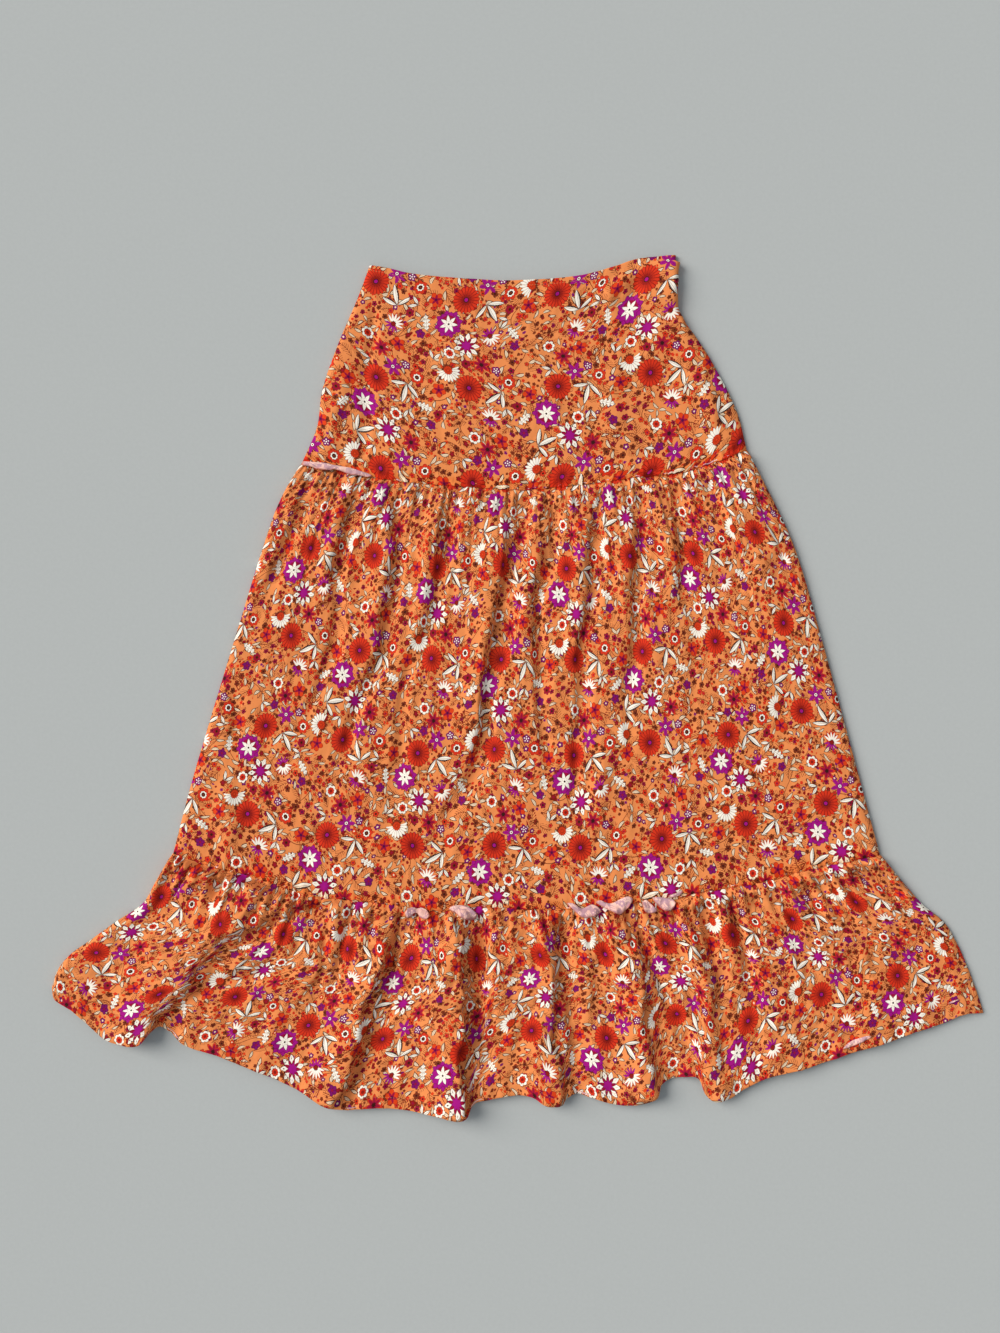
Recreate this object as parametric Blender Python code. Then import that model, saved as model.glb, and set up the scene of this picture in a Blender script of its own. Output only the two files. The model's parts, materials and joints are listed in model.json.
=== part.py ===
"""A tiered maxi skirt, laid flat on its back.

A smooth flared yoke, a middle tier gathered into it and a bottom ruffle gathered into that.
Each tier has a back, flat on the surface, and a front that lies on it and rolls down to the
surface at both sides. +X runs across the skirt, +Y towards its waist and +Z up; the origin is
under the middle of it. Lengths here are millimetres, and MM turns them into metres.
"""

import math
from dataclasses import dataclass

import bmesh
import bpy
import numpy as np

MM = 0.001
WALL = 1.5            # thickness of the cloth wall
GAP = 0.3             # clearance between two pieces that touch
LIE = 2 * WALL + GAP  # height of a front's outer face where it lies on the back
SLACK = 1.6           # how softly a trough settles on the back
TUCK = 6.0            # how far a back stays inside the rolled side of its front
SEAM_DIP = 0.7        # share of its loft that the cloth loses at a seam
SEAM_DIP_REACH = 12   # how far from the seam it has most of it back
SEAM_HOLD = 30        # how far from a seam the folds are whole
FOLD_STATIONS = 60    # places along a fold's line that the cloth is measured from
CREASE_ANGLE = math.radians(28)  # a gather's crest is shaded as a crease above this

# Outlines, left to right along the edges and seams, top to bottom down the sides: x, y
WAIST_EDGE = [(-173, 490), (-150, 486), (-130, 481), (-100, 477), (-58, 474), (-20, 472), (23, 473),
              (60, 476), (87, 481), (114, 489), (138, 497), (165, 500), (184, 502)]
HIP_SEAM = [(-251, 262), (-208, 253), (-138, 240), (-80, 235), (-21, 231), (10, 230), (72, 236),
            (142, 245), (189, 250), (226, 261), (266, 277)]
RUFFLE_SEAM = [(-401, -192), (-358, -207), (-312, -218), (-247, -239), (-200, -246), (-147, -251),
               (-95, -259), (-45, -254), (14, -257), (83, -256), (130, -250), (170, -248),
               (208, -238), (284, -225), (340, -210), (421, -194)]
HEM_EDGE = [(-542, -348), (-537, -362), (-518, -375), (-498, -391), (-479, -408), (-461, -413),
            (-443, -410), (-429, -398), (-418, -393), (-404, -401), (-386, -415), (-350, -427),
            (-307, -444), (-272, -458), (-247, -472), (-222, -487), (-200, -490), (-165, -488),
            (-129, -490), (-93, -497), (-68, -503), (-59, -499), (-53, -486), (-40, -480),
            (2, -473), (15, -475), (29, -484), (50, -485), (57, -476), (68, -472), (87, -476),
            (110, -483), (130, -485), (154, -479), (168, -459), (188, -453), (208, -453),
            (217, -472), (227, -480), (246, -476), (265, -464), (288, -453), (335, -441),
            (381, -426), (420, -414), (458, -401), (497, -389), (518, -380), (542, -379)]
BACK_HEM = [(-535, -350), (-512, -374), (-480, -396), (-418, -388), (-350, -420), (-222, -476),
            (-58, -480), (2, -468), (60, -467), (130, -470), (168, -452), (208, -448), (288, -447),
            (381, -420), (458, -395), (536, -375)]
YOKE_LEFT = [(-173, 490), (-187, 452), (-210, 398), (-228, 345), (-234, 303), (-251, 262)]
YOKE_RIGHT = [(184, 502), (181, 460), (184, 438), (206, 409), (235, 362), (256, 317), (266, 277)]
TIER_LEFT = [(-251, 262), (-277, 217), (-298, 159), (-320, 88), (-342, 16), (-379, -108), (-401, -192)]
TIER_RIGHT = [(266, 277), (297, 217), (316, 177), (331, 135), (356, 47), (398, -108), (421, -194)]
RUFFLE_LEFT = [(-401, -192), (-421, -226), (-436, -251), (-468, -273), (-497, -294), (-522, -312),
               (-536, -330), (-542, -348)]
RUFFLE_RIGHT = [(421, -194), (443, -221), (470, -252), (497, -275), (513, -302), (525, -330),
                (536, -360), (542, -379)]

# Folds, each a soft ridge (rise above 0) or trough (below 0) along a smooth line. left and right
# are how far the fold reaches to either side; fade_in and fade_out are the shares of the line it
# takes to rise from nothing and to sink to nothing.
#   rise, left, right, fade_in, fade_out, the line's points x, y
YOKE_FOLDS = [
    (-3.5, 11, 11, 0.15, 0.05, [(-171, 455), (-168, 405), (-176, 364), (-177, 311), (-178, 262)]),
    (3.0, 18, 16, 0.20, 0.15, [(-200, 400), (-206, 350), (-214, 300), (-222, 262)]),
    (8.0, 60, 12, 0.03, 0.70, [(181, 496), (181, 452), (190, 405), (204, 375)]),
    (5.0, 28, 20, 0.25, 0.10, [(189, 416), (212, 358), (233, 300), (251, 262)]),
    (-4.0, 12, 10, 0.30, 0.40, [(150, 484), (133, 455), (114, 428)]),
    (3.5, 16, 12, 0.30, 0.45, [(128, 485), (113, 462), (94, 428)]),
    (1.6, 14, 12, 0.10, 0.60, [(37, 469), (44, 400)]),
    (1.8, 18, 16, 0.40, 0.20, [(31, 370), (61, 270)]),
    (1.6, 24, 20, 0.40, 0.40, [(-78, 440), (-70, 270)]),
    (1.8, 26, 20, 0.40, 0.30, [(108, 420), (118, 260)]),
]
TIER_FOLDS = [
    (-7, 13, 13, 0.05, 0.45, [(-184, 232), (-202, 166), (-213, 55), (-229, -3), (-254, -41), (-280, -70)]),
    (5, 26, 13, 0.10, 0.60, [(-200, 222), (-218, 160), (-229, 60)]),
    (-8, 13, 14, 0.04, 0.40, [(-136, 224), (-140, 160), (-143, 101), (-154, 49), (-173, 2), (-194, -50),
                               (-212, -108), (-226, -136)]),
    (6, 24, 12, 0.10, 0.50, [(-152, 218), (-157, 140), (-170, 48), (-192, -10)]),
    (-5, 13, 14, 0.06, 0.35, [(-84, 220), (-83, 166), (-91, 113), (-111, 55), (-128, 8), (-136, -50),
                              (-142, -120), (-160, -192)]),
    (5, 20, 14, 0.12, 0.50, [(-100, 216), (-101, 150), (-112, 90), (-136, 30)]),
    (-11, 13, 16, 0.03, 0.30, [(1, 238), (2, 195), (-6, 148), (-19, 101), (-24, 49), (-34, -3), (-40, -62),
                               (-56, -114), (-82, -149), (-100, -192)]),
    (8, 30, 12, 0.12, 0.35, [(-17, 210), (-20, 160), (-34, 101), (-40, 49), (-50, -3), (-58, -70), (-78, -120)]),
    (-6, 12, 13, 0.06, 0.35, [(47, 218), (40, 160), (26, 107), (26, 43), (28, -15), (34, -73), (32, -134)]),
    (5, 17, 14, 0.20, 0.50, [(22, 200), (14, 120), (8, 43), (8, -30)]),
    (-7, 12, 13, 0.05, 0.45, [(92, 224), (92, 160), (86, 107), (77, 55), (75, -3), (71, -62), (65, -132),
                              (54, -204)]),
    (6, 20, 12, 0.12, 0.45, [(76, 212), (76, 150), (66, 70), (58, 0)]),
    (-5, 12, 13, 0.06, 0.45, [(138, 224), (142, 166), (142, 101), (135, 37), (128, -15), (131, -62),
                              (142, -122)]),
    (6, 22, 13, 0.15, 0.45, [(122, 212), (126, 150), (124, 80), (112, 10)]),
    (-4.5, 12, 14, 0.06, 0.50, [(181, 232), (190, 171), (196, 113), (206, 55), (210, -18)]),
    (4, 18, 14, 0.15, 0.50, [(168, 215), (176, 150), (184, 70)]),
    (6, 28, 34, 0.15, 0.40, [(253, 250), (265, 195), (285, 125), (305, 55), (329, -18)]),
    (-5, 12, 13, 0.10, 0.35, [(-239, 246), (-246, 206), (-266, 166), (-282, 131), (-292, 94)]),
    (5, 16, 12, 0.15, 0.40, [(-255, 225), (-266, 195), (-288, 150), (-300, 110)]),
    (-4, 12, 14, 0.30, 0.40, [(-333, 22), (-329, -27), (-326, -88)]),
    (-3, 14, 14, 0.40, 0.40, [(-222, -148), (-241, -186), (-258, -222)]),
    (5, 30, 24, 0.30, 0.30, [(-345, -95), (-336, -150), (-310, -200)]),
    (4, 22, 20, 0.40, 0.35, [(100, -40), (98, -110), (84, -180)]),
    (3, 34, 30, 0.40, 0.50, [(250, 120), (300, -60)]),
]
RUFFLE_FOLDS = [
    (-7, 8, 9, 0.15, 0.25, [(-390, -198), (-406, -222), (-422, -246)]),
    (14, 60, 24, 0.35, 0.04, [(-231, -237), (-277, -248), (-318, -266), (-353, -291), (-382, -318),
                              (-406, -347), (-427, -377), (-444, -425)]),
    (-8, 12, 13, 0.10, 0.40, [(-215, -250), (-254, -262), (-292, -274), (-318, -295), (-353, -321)]),
    (-9, 20, 15, 0.35, 0.08, [(-250, -305), (-298, -332), (-342, -345), (-375, -353), (-398, -377),
                              (-406, -412)]),
    (-5, 10, 10, 0.25, 0.40, [(-222, -270), (-224, -318), (-234, -368)]),
    (-4, 9, 9, 0.25, 0.45, [(-192, -262), (-208, -324), (-220, -380)]),
    (13, 48, 14, 0.20, 0.04, [(-152, -258), (-164, -307), (-180, -353), (-197, -412), (-220, -490)]),
    (-9, 12, 18, 0.04, 0.05, [(-133, -256), (-142, -301), (-153, -347), (-167, -400), (-182, -441),
                               (-200, -490)]),
    (17, 58, 14, 0.15, 0.04, [(-74, -256), (-76, -318), (-77, -377), (-76, -435), (-74, -505)]),
    (-13, 13, 17, 0.03, 0.05, [(-50, -258), (-45, -307), (-49, -365), (-48, -423), (-50, -490)]),
    (7, 12, 26, 0.20, 0.40, [(-21, -262), (-22, -330), (-24, -400)]),
    (-4, 8, 9, 0.25, 0.35, [(8, -262), (22, -324), (28, -370)]),
    (11, 42, 14, 0.15, 0.04, [(33, -262), (30, -318), (33, -365), (35, -423), (42, -490)]),
    (-8, 12, 22, 0.06, 0.05, [(57, -254), (50, -295), (56, -347), (65, -400), (70, -480)]),
    (-5, 10, 10, 0.15, 0.40, [(88, -262), (96, -307), (91, -356)]),
    (10, 38, 16, 0.15, 0.04, [(112, -258), (126, -307), (136, -353), (142, -400), (148, -484)]),
    (-10, 12, 10, 0.05, 0.15, [(124, -250), (142, -283), (156, -318), (171, -353), (184, -388), (204, -438)]),
    (-6, 16, 20, 0.35, 0.05, [(158, -350), (171, -412), (180, -470)]),
    (7, 22, 15, 0.15, 0.04, [(196, -256), (212, -318), (219, -365), (226, -423), (234, -484)]),
    (-8, 10, 12, 0.06, 0.35, [(213, -250), (223, -295), (231, -330), (236, -370)]),
    (-7, 10, 12, 0.06, 0.40, [(243, -244), (257, -278), (266, -312), (269, -353), (274, -392)]),
    (5, 14, 12, 0.15, 0.45, [(233, -246), (244, -290), (250, -340)]),
    (-5, 9, 9, 0.10, 0.45, [(292, -228), (311, -257), (331, -290)]),
    (5, 24, 16, 0.20, 0.50, [(305, -228), (345, -275), (390, -322)]),
    (4, 40, 34, 0.35, 0.10, [(282, -300), (322, -470)]),
    (-6, 8, 9, 0.15, 0.15, [(380, -208), (410, -225), (452, -243)]),
    (4, 26, 18, 0.30, 0.45, [(385, -236), (478, -322)]),
    (3, 44, 40, 0.45, 0.10, [(400, -330), (440, -430)]),
]

# Pale seam allowances that stick out of a seam and fold over it: the tiers above and below the
# seam, how far their middle stands up, the edge they come out at and their free rim
FLAPS = {
    "flap_hip": ("yoke", "tier", 1.5,
                 [(-250, 262), (-237, 261), (-225, 260), (-216, 258), (-204, 256), (-193, 254),
                  (-184, 251), (-175, 248), (-170, 246)],
                 [(-251, 257), (-240, 255), (-231, 252), (-221, 250.5), (-212, 252), (-202, 249),
                  (-193, 245.5), (-184, 245), (-175, 243.5), (-169, 244.5)]),
    "flap_1": ("tier", "ruffle", 2.2,
               [(-131, -260), (-127, -256), (-121, -255), (-117, -256.5), (-112, -255.5), (-107, -257.5),
                (-102.5, -262)],
               [(-131, -261), (-128, -266), (-124, -265), (-120, -261), (-116.5, -261), (-113, -265.5),
                (-108.5, -267), (-104, -265.5), (-102, -263)]),
    "flap_2": ("tier", "ruffle", 2.6,
               [(-80.5, -256.5), (-76, -253.5), (-67.5, -252.5), (-59.5, -254), (-52.5, -257.5), (-48, -262)],
               [(-80, -257.5), (-73.5, -260.5), (-66.5, -264.5), (-59.5, -268), (-53.5, -270),
                (-49, -267.5), (-47, -263.5)]),
    "flap_3": ("tier", "ruffle", 2.6,
               [(56, -250), (62, -250), (66.5, -252), (71, -255), (74.5, -256.5), (79.5, -254.5),
                (85, -252), (90.5, -253.5), (96, -258)],
               [(56.5, -251), (62, -256), (67.5, -261), (73.5, -265.5), (79.5, -266), (85, -265),
                (92, -262.5), (96.5, -259.5)]),
    "flap_4": ("tier", "ruffle", 3.0,
               [(90, -248.5), (95.5, -247), (101.5, -249.5), (107, -250.5), (112, -249), (116.5, -246.5),
                (122.5, -243.5), (128.5, -242.5), (133, -245)],
               [(90, -250), (94.5, -252.5), (101.5, -256), (108.5, -259), (114.5, -261.5), (118, -262.5),
                (122.5, -259.5), (127, -255.5), (130.5, -250.5), (133.5, -246.5)]),
    "flap_5": ("tier", "ruffle", 2.0,
               [(143.5, -249.5), (148, -246.5), (152.5, -249.5), (157, -253.5), (160.5, -257)],
               [(143.5, -252), (146, -258), (149.5, -260.5), (154, -260.5), (158, -259.5), (160.5, -258)]),
    "flap_6": ("tier", "ruffle", 2.6,
               [(155, -243.5), (161, -243), (167, -243.5), (172.5, -244.5), (178.5, -245.5), (182, -248.5)],
               [(155.5, -245), (159, -249.5), (163.5, -254), (168, -257), (173.5, -258), (178.5, -255.5),
                (182, -249.5)]),
}
FLAP_LIFT = 0.5       # clearance under a seam allowance
FLAP_COLUMNS = 10     # stretches along an allowance
FLAP_ROWS = 4         # stretches down it
FLAP_ENDS = 0.06      # share of its length that an allowance is trimmed by at its pointed ends
FLAP_ARCH = (0.1, 0.8)  # part of half a turn that its section bends through, root to rim
PROPS = 5             # points of a front that hold up a point of an allowance

SIDE_SHARES = (0.0, 0.0, 0.0016, 0.0046, 0.0092, 0.0155)  # of a tier's width, close at the roll
BACK_COLUMNS = 20
BACK_ROWS = (0.0, 0.1, 0.24, 0.38, 0.52, 0.68, 0.84, 1.0)

PRINT_ORANGE = (0.81, 0.26, 0.08)
WRONG_SIDE = (0.80, 0.52, 0.44)


@dataclass
class Tier:
    """One tier of the skirt, as cut and gathered."""
    name: str
    top: list
    bottom: list
    back_bottom: list
    left: list
    right: list
    folds: list
    rows: tuple            # shares of the depth at which the front has a row of points
    columns: int           # stretches between its sides, two to a gather
    roll: float            # how far in from a side the front takes to roll down
    loft: float            # how far the cloth stands off the back between its folds
    gather_rise: float     # height of the gathers just below the seam
    gather_reach: float    # how far down they run
    loose_top: bool = False
    loose_bottom: bool = False


TIERS = [
    Tier("yoke", WAIST_EDGE, HIP_SEAM, HIP_SEAM, YOKE_LEFT, YOKE_RIGHT, YOKE_FOLDS,
         (0.0, 0.06, 0.2, 0.36, 0.52, 0.68, 0.84, 0.935, 1.0), 36,
         roll=8, loft=4.2, gather_rise=0.0, gather_reach=1, loose_top=True),
    Tier("tier", HIP_SEAM, RUFFLE_SEAM, RUFFLE_SEAM, TIER_LEFT, TIER_RIGHT, TIER_FOLDS,
         (0.0, 0.02, 0.06, 0.13, 0.22, 0.33, 0.46, 0.60, 0.75, 0.89, 0.965, 1.0), 72,
         roll=10, loft=5.5, gather_rise=3.0, gather_reach=70),
    Tier("ruffle", RUFFLE_SEAM, HEM_EDGE, BACK_HEM, RUFFLE_LEFT, RUFFLE_RIGHT, RUFFLE_FOLDS,
         (0.0, 0.035, 0.10, 0.19, 0.30, 0.42, 0.55, 0.70, 0.85, 1.0), 100,
         roll=12, loft=7.0, gather_rise=3.6, gather_reach=55, loose_bottom=True),
]


def smooth_line(points, shares):
    """Points at shares of the length of a smooth line through the given ones."""
    points = np.array(points, float)
    knots = np.concatenate([[0], np.cumsum(np.sqrt(np.linalg.norm(np.diff(points, axis=0), axis=1)))])
    slopes = np.gradient(points, knots, axis=0)
    fine = np.linspace(0, knots[-1], 40 * len(points))
    span = np.clip(np.searchsorted(knots, fine, side="right") - 1, 0, len(knots) - 2)
    step = (knots[span + 1] - knots[span])[:, None]
    u = (fine - knots[span])[:, None] / step
    line = ((2 * u**3 - 3 * u**2 + 1) * points[span] + (u**3 - 2 * u**2 + u) * step * slopes[span]
            + (3 * u**2 - 2 * u**3) * points[span + 1] + (u**3 - u**2) * step * slopes[span + 1])
    length = np.concatenate([[0], np.cumsum(np.linalg.norm(np.diff(line, axis=0), axis=1))])
    return np.stack([np.interp(np.array(shares) * length[-1], length, line[:, k]) for k in (0, 1)], axis=-1)


def plan(top, bottom, left, right, across, down):
    """Plan positions over a four-sided panel: rows at shares down it, columns at shares across."""
    s, t = np.array(across)[None, :, None], np.array(down)[:, None, None]
    upper, lower = smooth_line(top, across)[None], smooth_line(bottom, across)[None]
    west, east = smooth_line(left, down)[:, None], smooth_line(right, down)[:, None]
    corners = (1 - t) * ((1 - s) * west[:1] + s * east[:1]) + t * ((1 - s) * west[-1:] + s * east[-1:])
    return (1 - t) * upper + t * lower + (1 - s) * west + s * east - corners


def smooth_step(share):
    share = np.clip(share, 0, 1)
    return share * share * (3 - 2 * share)


def fold_height(fold, xy):
    """Height that one fold adds at plan positions."""
    rise, left, right, fade_in, fade_out, points = fold
    stations = np.linspace(0, 1, FOLD_STATIONS)
    line = smooth_line(points, stations)
    length = np.linalg.norm(np.diff(line, axis=0), axis=1).sum()
    forwards = np.gradient(line, axis=0)
    forwards /= np.linalg.norm(forwards, axis=1)[:, None]
    nearest = np.argmin(((xy[..., None, :] - line) ** 2).sum(axis=-1), axis=-1)
    offset, ahead = xy - line[nearest], forwards[nearest]
    along = stations[nearest] + (offset * ahead).sum(axis=-1) / length
    across = offset[..., 1] * ahead[..., 0] - offset[..., 0] * ahead[..., 1]
    section = np.cos(np.clip(across / np.where(across < 0, left, right), -1, 1) * math.pi / 2) ** 2
    return rise * section * smooth_step(along / fade_in) * smooth_step((1 - along) / fade_out)


def front_surface(tier):
    """Outer face of a tier's front as a grid of points, rows from its top to its bottom."""
    side = np.array(SIDE_SHARES)
    middle = np.linspace(side[-1], 1 - side[-1], tier.columns + 1)
    across = np.concatenate([side[:-1], middle, 1 - side[-2::-1]])
    xy = plan(tier.top, tier.bottom, tier.left, tier.right, across, tier.rows)
    from_top = np.linalg.norm(xy - xy[:1], axis=2)
    from_bottom = np.linalg.norm(xy - xy[-1:], axis=2)
    from_side = np.minimum(np.linalg.norm(xy - xy[:, :1], axis=2), np.linalg.norm(xy - xy[:, -1:], axis=2))

    # every second column between the sides is a gather's crest, no two of one height and reach
    column = np.arange(len(across))
    crest = np.where((column - len(side)) % 2 == 0, 1.0, 0.0)
    height = tier.gather_rise * (0.72 + 0.28 * np.sin(2.4 * column))
    reach = tier.gather_reach * (0.75 + 0.35 * np.sin(1.7 * column + 1))
    gathers = crest * height * smooth_step(from_top / 8 + 0.4) * np.exp(-((from_top / reach) ** 2))

    loft = np.full_like(from_top, tier.loft)
    folds = sum(fold_height(fold, xy) for fold in tier.folds)
    for loose, from_seam in ((tier.loose_top, from_top), (tier.loose_bottom, from_bottom)):
        if not loose:
            loft *= 1 - SEAM_DIP * np.exp(-from_seam / SEAM_DIP_REACH)
            folds *= smooth_step(from_seam / SEAM_HOLD)
    lift = loft + gathers + folds
    height = LIE + (lift + np.sqrt(lift**2 + SLACK**2)) / 2

    # the roll's first face stands upright, from the surface to a quarter of the height
    rolled = np.sqrt(1 - (1 - np.clip(from_side / tier.roll, 0, 1)) ** 2)
    rolled[:, [1, -2]] = 0.25
    return np.dstack([xy, height * rolled])


def back_surface(tier):
    """Upper face of a tier's back, which lies flat."""
    width = tier.right[0][0] - tier.left[0][0]
    tuck = TUCK / width
    across = np.linspace(tuck, 1 - tuck, BACK_COLUMNS + 1)
    xy = plan(tier.top, tier.back_bottom, tier.left, tier.right, across, BACK_ROWS)
    return np.dstack([xy, np.full(xy.shape[:2], WALL)])


def seam_clearance(tier, surface):
    """Move the sewn edges of a tier half the clearance away from their seams."""
    if not tier.loose_top:
        surface[0, :, 1] -= GAP / 2
    if not tier.loose_bottom:
        surface[-1, :, 1] += GAP / 2
    return surface


def flap_surface(fronts, crown, root, rim):
    """Outer face of a seam allowance that lies over the seam between two fronts."""
    along = np.linspace(FLAP_ENDS, 1 - FLAP_ENDS, FLAP_COLUMNS + 1)
    upper, lower = smooth_line(root, along), smooth_line(rim, along)
    bulge = np.sqrt(np.sin(math.pi * along))
    rows = []
    for down, turn in zip(np.linspace(0, 1, FLAP_ROWS + 1), np.linspace(*FLAP_ARCH, FLAP_ROWS + 1)):
        place = upper + (lower - upper) * down
        lying = np.max([height_under(front, place) for front in fronts], axis=0)
        arch = crown * bulge * math.sin(math.pi * turn)
        rows.append(np.column_stack([place, lying + FLAP_LIFT + WALL + arch]))
    return np.array(rows)


def height_under(front, place):
    """Height of a front's highest point next to each place."""
    points = front.reshape(-1, 3)
    away = ((place[:, None] - points[None, :, :2]) ** 2).sum(axis=2)
    return points[np.argsort(away, axis=1)[:, :PROPS], 2].max(axis=1)


def cloth_material(name, colour):
    material = bpy.data.materials.new(name + "_cloth")
    material.use_nodes = True
    shader = material.node_tree.nodes["Principled BSDF"]
    shader.inputs["Base Color"].default_value = (*colour, 1.0)
    shader.inputs["Roughness"].default_value = 0.85
    shader.inputs["Metallic"].default_value = 0.0
    return material


def cloth_wall(name, surface, colour, skirt):
    """A cloth wall: a grid laid on the surface's points and thickened inwards."""
    rows, columns = surface.shape[:2]
    bm = bmesh.new()
    bmesh.ops.create_grid(bm, x_segments=columns - 1, y_segments=rows - 1, size=0.5)
    for vertex in bm.verts:
        column = round((vertex.co.x + 0.5) * (columns - 1))
        row = round((0.5 - vertex.co.y) * (rows - 1))
        vertex.co = surface[row, column] * MM
    mesh = bpy.data.meshes.new(name)
    bm.to_mesh(mesh)
    bm.free()
    mesh.shade_smooth()
    mesh.set_sharp_from_angle(angle=CREASE_ANGLE)
    piece = bpy.data.objects.new(name, mesh)
    bpy.context.collection.objects.link(piece)
    piece.data.materials.append(cloth_material(name, colour))
    thicken = piece.modifiers.new("cloth thickness", "SOLIDIFY")
    thicken.thickness = WALL * MM
    thicken.offset = -1
    thicken.use_even_offset = False
    piece.parent = skirt


def main():
    for item in list(bpy.data.objects):
        bpy.data.objects.remove(item, do_unlink=True)
    skirt = bpy.data.objects.new("skirt", None)
    bpy.context.collection.objects.link(skirt)
    fronts = {}
    for tier in TIERS:
        fronts[tier.name] = seam_clearance(tier, front_surface(tier))
        cloth_wall(tier.name + "_front", fronts[tier.name], PRINT_ORANGE, skirt)
        cloth_wall(tier.name + "_back", seam_clearance(tier, back_surface(tier)), PRINT_ORANGE, skirt)
    for name, (upper, lower, *form) in FLAPS.items():
        cloth_wall(name, flap_surface((fronts[upper], fronts[lower]), *form), WRONG_SIDE, skirt)


main()
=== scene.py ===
"""The looks of a tiered maxi skirt that lies flat on its back.

Each panel is a thin shell of printed cloth in the form of its solid: a smooth flared yoke, a
middle tier gathered into it and a ruffle gathered into that, with their folds, turned edges,
seam allowances and stitching. The print is drawn in the panel's own flat cloth, so gathers
squeeze it. +X runs across the skirt, +Y towards its waist and +Z up. Lengths are millimetres
until a mesh is made, and MM turns them into metres.
"""

import json
import math
from dataclasses import dataclass, replace
from functools import cache

import bpy
import numpy as np
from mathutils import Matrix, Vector, noise
from mathutils.kdtree import KDTree


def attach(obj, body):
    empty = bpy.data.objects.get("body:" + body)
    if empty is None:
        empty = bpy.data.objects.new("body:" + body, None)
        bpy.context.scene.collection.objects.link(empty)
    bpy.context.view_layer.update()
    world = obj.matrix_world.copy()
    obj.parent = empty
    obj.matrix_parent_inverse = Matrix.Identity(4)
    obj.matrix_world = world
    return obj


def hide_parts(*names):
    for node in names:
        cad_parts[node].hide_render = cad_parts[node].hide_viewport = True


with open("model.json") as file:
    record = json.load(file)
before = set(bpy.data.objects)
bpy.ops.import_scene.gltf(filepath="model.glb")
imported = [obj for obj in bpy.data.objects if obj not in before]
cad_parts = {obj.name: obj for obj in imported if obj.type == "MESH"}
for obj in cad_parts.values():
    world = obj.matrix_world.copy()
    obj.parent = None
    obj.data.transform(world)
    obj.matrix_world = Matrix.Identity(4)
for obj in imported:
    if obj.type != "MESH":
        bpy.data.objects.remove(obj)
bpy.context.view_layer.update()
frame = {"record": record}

bl_info = {
    "name": "Tiered maxi skirt",
    "version": (1, 0, 0),
    "blender": (4, 5, 0),
    "location": "View3D > Sidebar > Skirt",
    "description": "Makes a tiered skirt of printed cloth, laid flat",
    "category": "Object",
}

MM = 0.001
RECORD_COLOURS = {m["slot"]: m["base_color"] for m in frame["record"]["materials"]}

# Outlines, left to right along the edges and seams, top to bottom down the sides: x, y
WAIST_EDGE = [
    (-173, 490), (-150, 486), (-130, 481), (-100, 477), (-58, 474), (-20, 472), (23, 473), (60, 476),
    (87, 481), (114, 489), (138, 497), (165, 500), (184, 502)]
HIP_SEAM = [
    (-251, 262), (-208, 253), (-138, 240), (-80, 235), (-21, 231), (10, 230), (72, 236), (142, 245),
    (189, 250), (226, 261), (266, 277)]
RUFFLE_SEAM = [
    (-401, -192), (-358, -207), (-312, -218), (-247, -239), (-200, -246), (-147, -251), (-95, -259),
    (-45, -254), (14, -257), (83, -256), (130, -250), (170, -248), (208, -238), (284, -225), (340, -210),
    (421, -194)]
HEM_EDGE = [
    (-542, -348), (-537, -362), (-518, -375), (-498, -391), (-479, -408), (-461, -413), (-443, -410),
    (-429, -398), (-418, -393), (-404, -401), (-386, -415), (-350, -427), (-307, -444), (-272, -458),
    (-247, -472), (-222, -487), (-200, -490), (-165, -488), (-129, -490), (-93, -497), (-68, -503),
    (-59, -499), (-53, -486), (-40, -480), (2, -473), (15, -475), (29, -484), (50, -485), (57, -476),
    (68, -472), (87, -476), (110, -483), (130, -485), (154, -479), (168, -459), (188, -453), (208, -453),
    (217, -472), (227, -480), (246, -476), (265, -464), (288, -453), (335, -441), (381, -426), (420, -414),
    (458, -401), (497, -389), (518, -380), (542, -379)]
BACK_HEM = [
    (-535, -350), (-512, -374), (-480, -396), (-418, -388), (-350, -420), (-222, -476), (-58, -480),
    (2, -468), (60, -467), (130, -470), (168, -452), (208, -448), (288, -447), (381, -420), (458, -395),
    (536, -375)]
YOKE_LEFT = [
    (-173, 490), (-187, 452), (-210, 398), (-228, 345), (-234, 303), (-251, 262)]
YOKE_RIGHT = [
    (184, 502), (181, 460), (184, 438), (206, 409), (235, 362), (256, 317), (266, 277)]
TIER_LEFT = [
    (-251, 262), (-277, 217), (-298, 159), (-320, 88), (-342, 16), (-379, -108), (-401, -192)]
TIER_RIGHT = [
    (266, 277), (297, 217), (316, 177), (331, 135), (356, 47), (398, -108), (421, -194)]
RUFFLE_LEFT = [
    (-401, -192), (-421, -226), (-436, -251), (-468, -273), (-497, -294), (-522, -312), (-536, -330),
    (-542, -348)]
RUFFLE_RIGHT = [
    (421, -194), (443, -221), (470, -252), (497, -275), (513, -302), (525, -330), (536, -360), (542, -379)]

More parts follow.
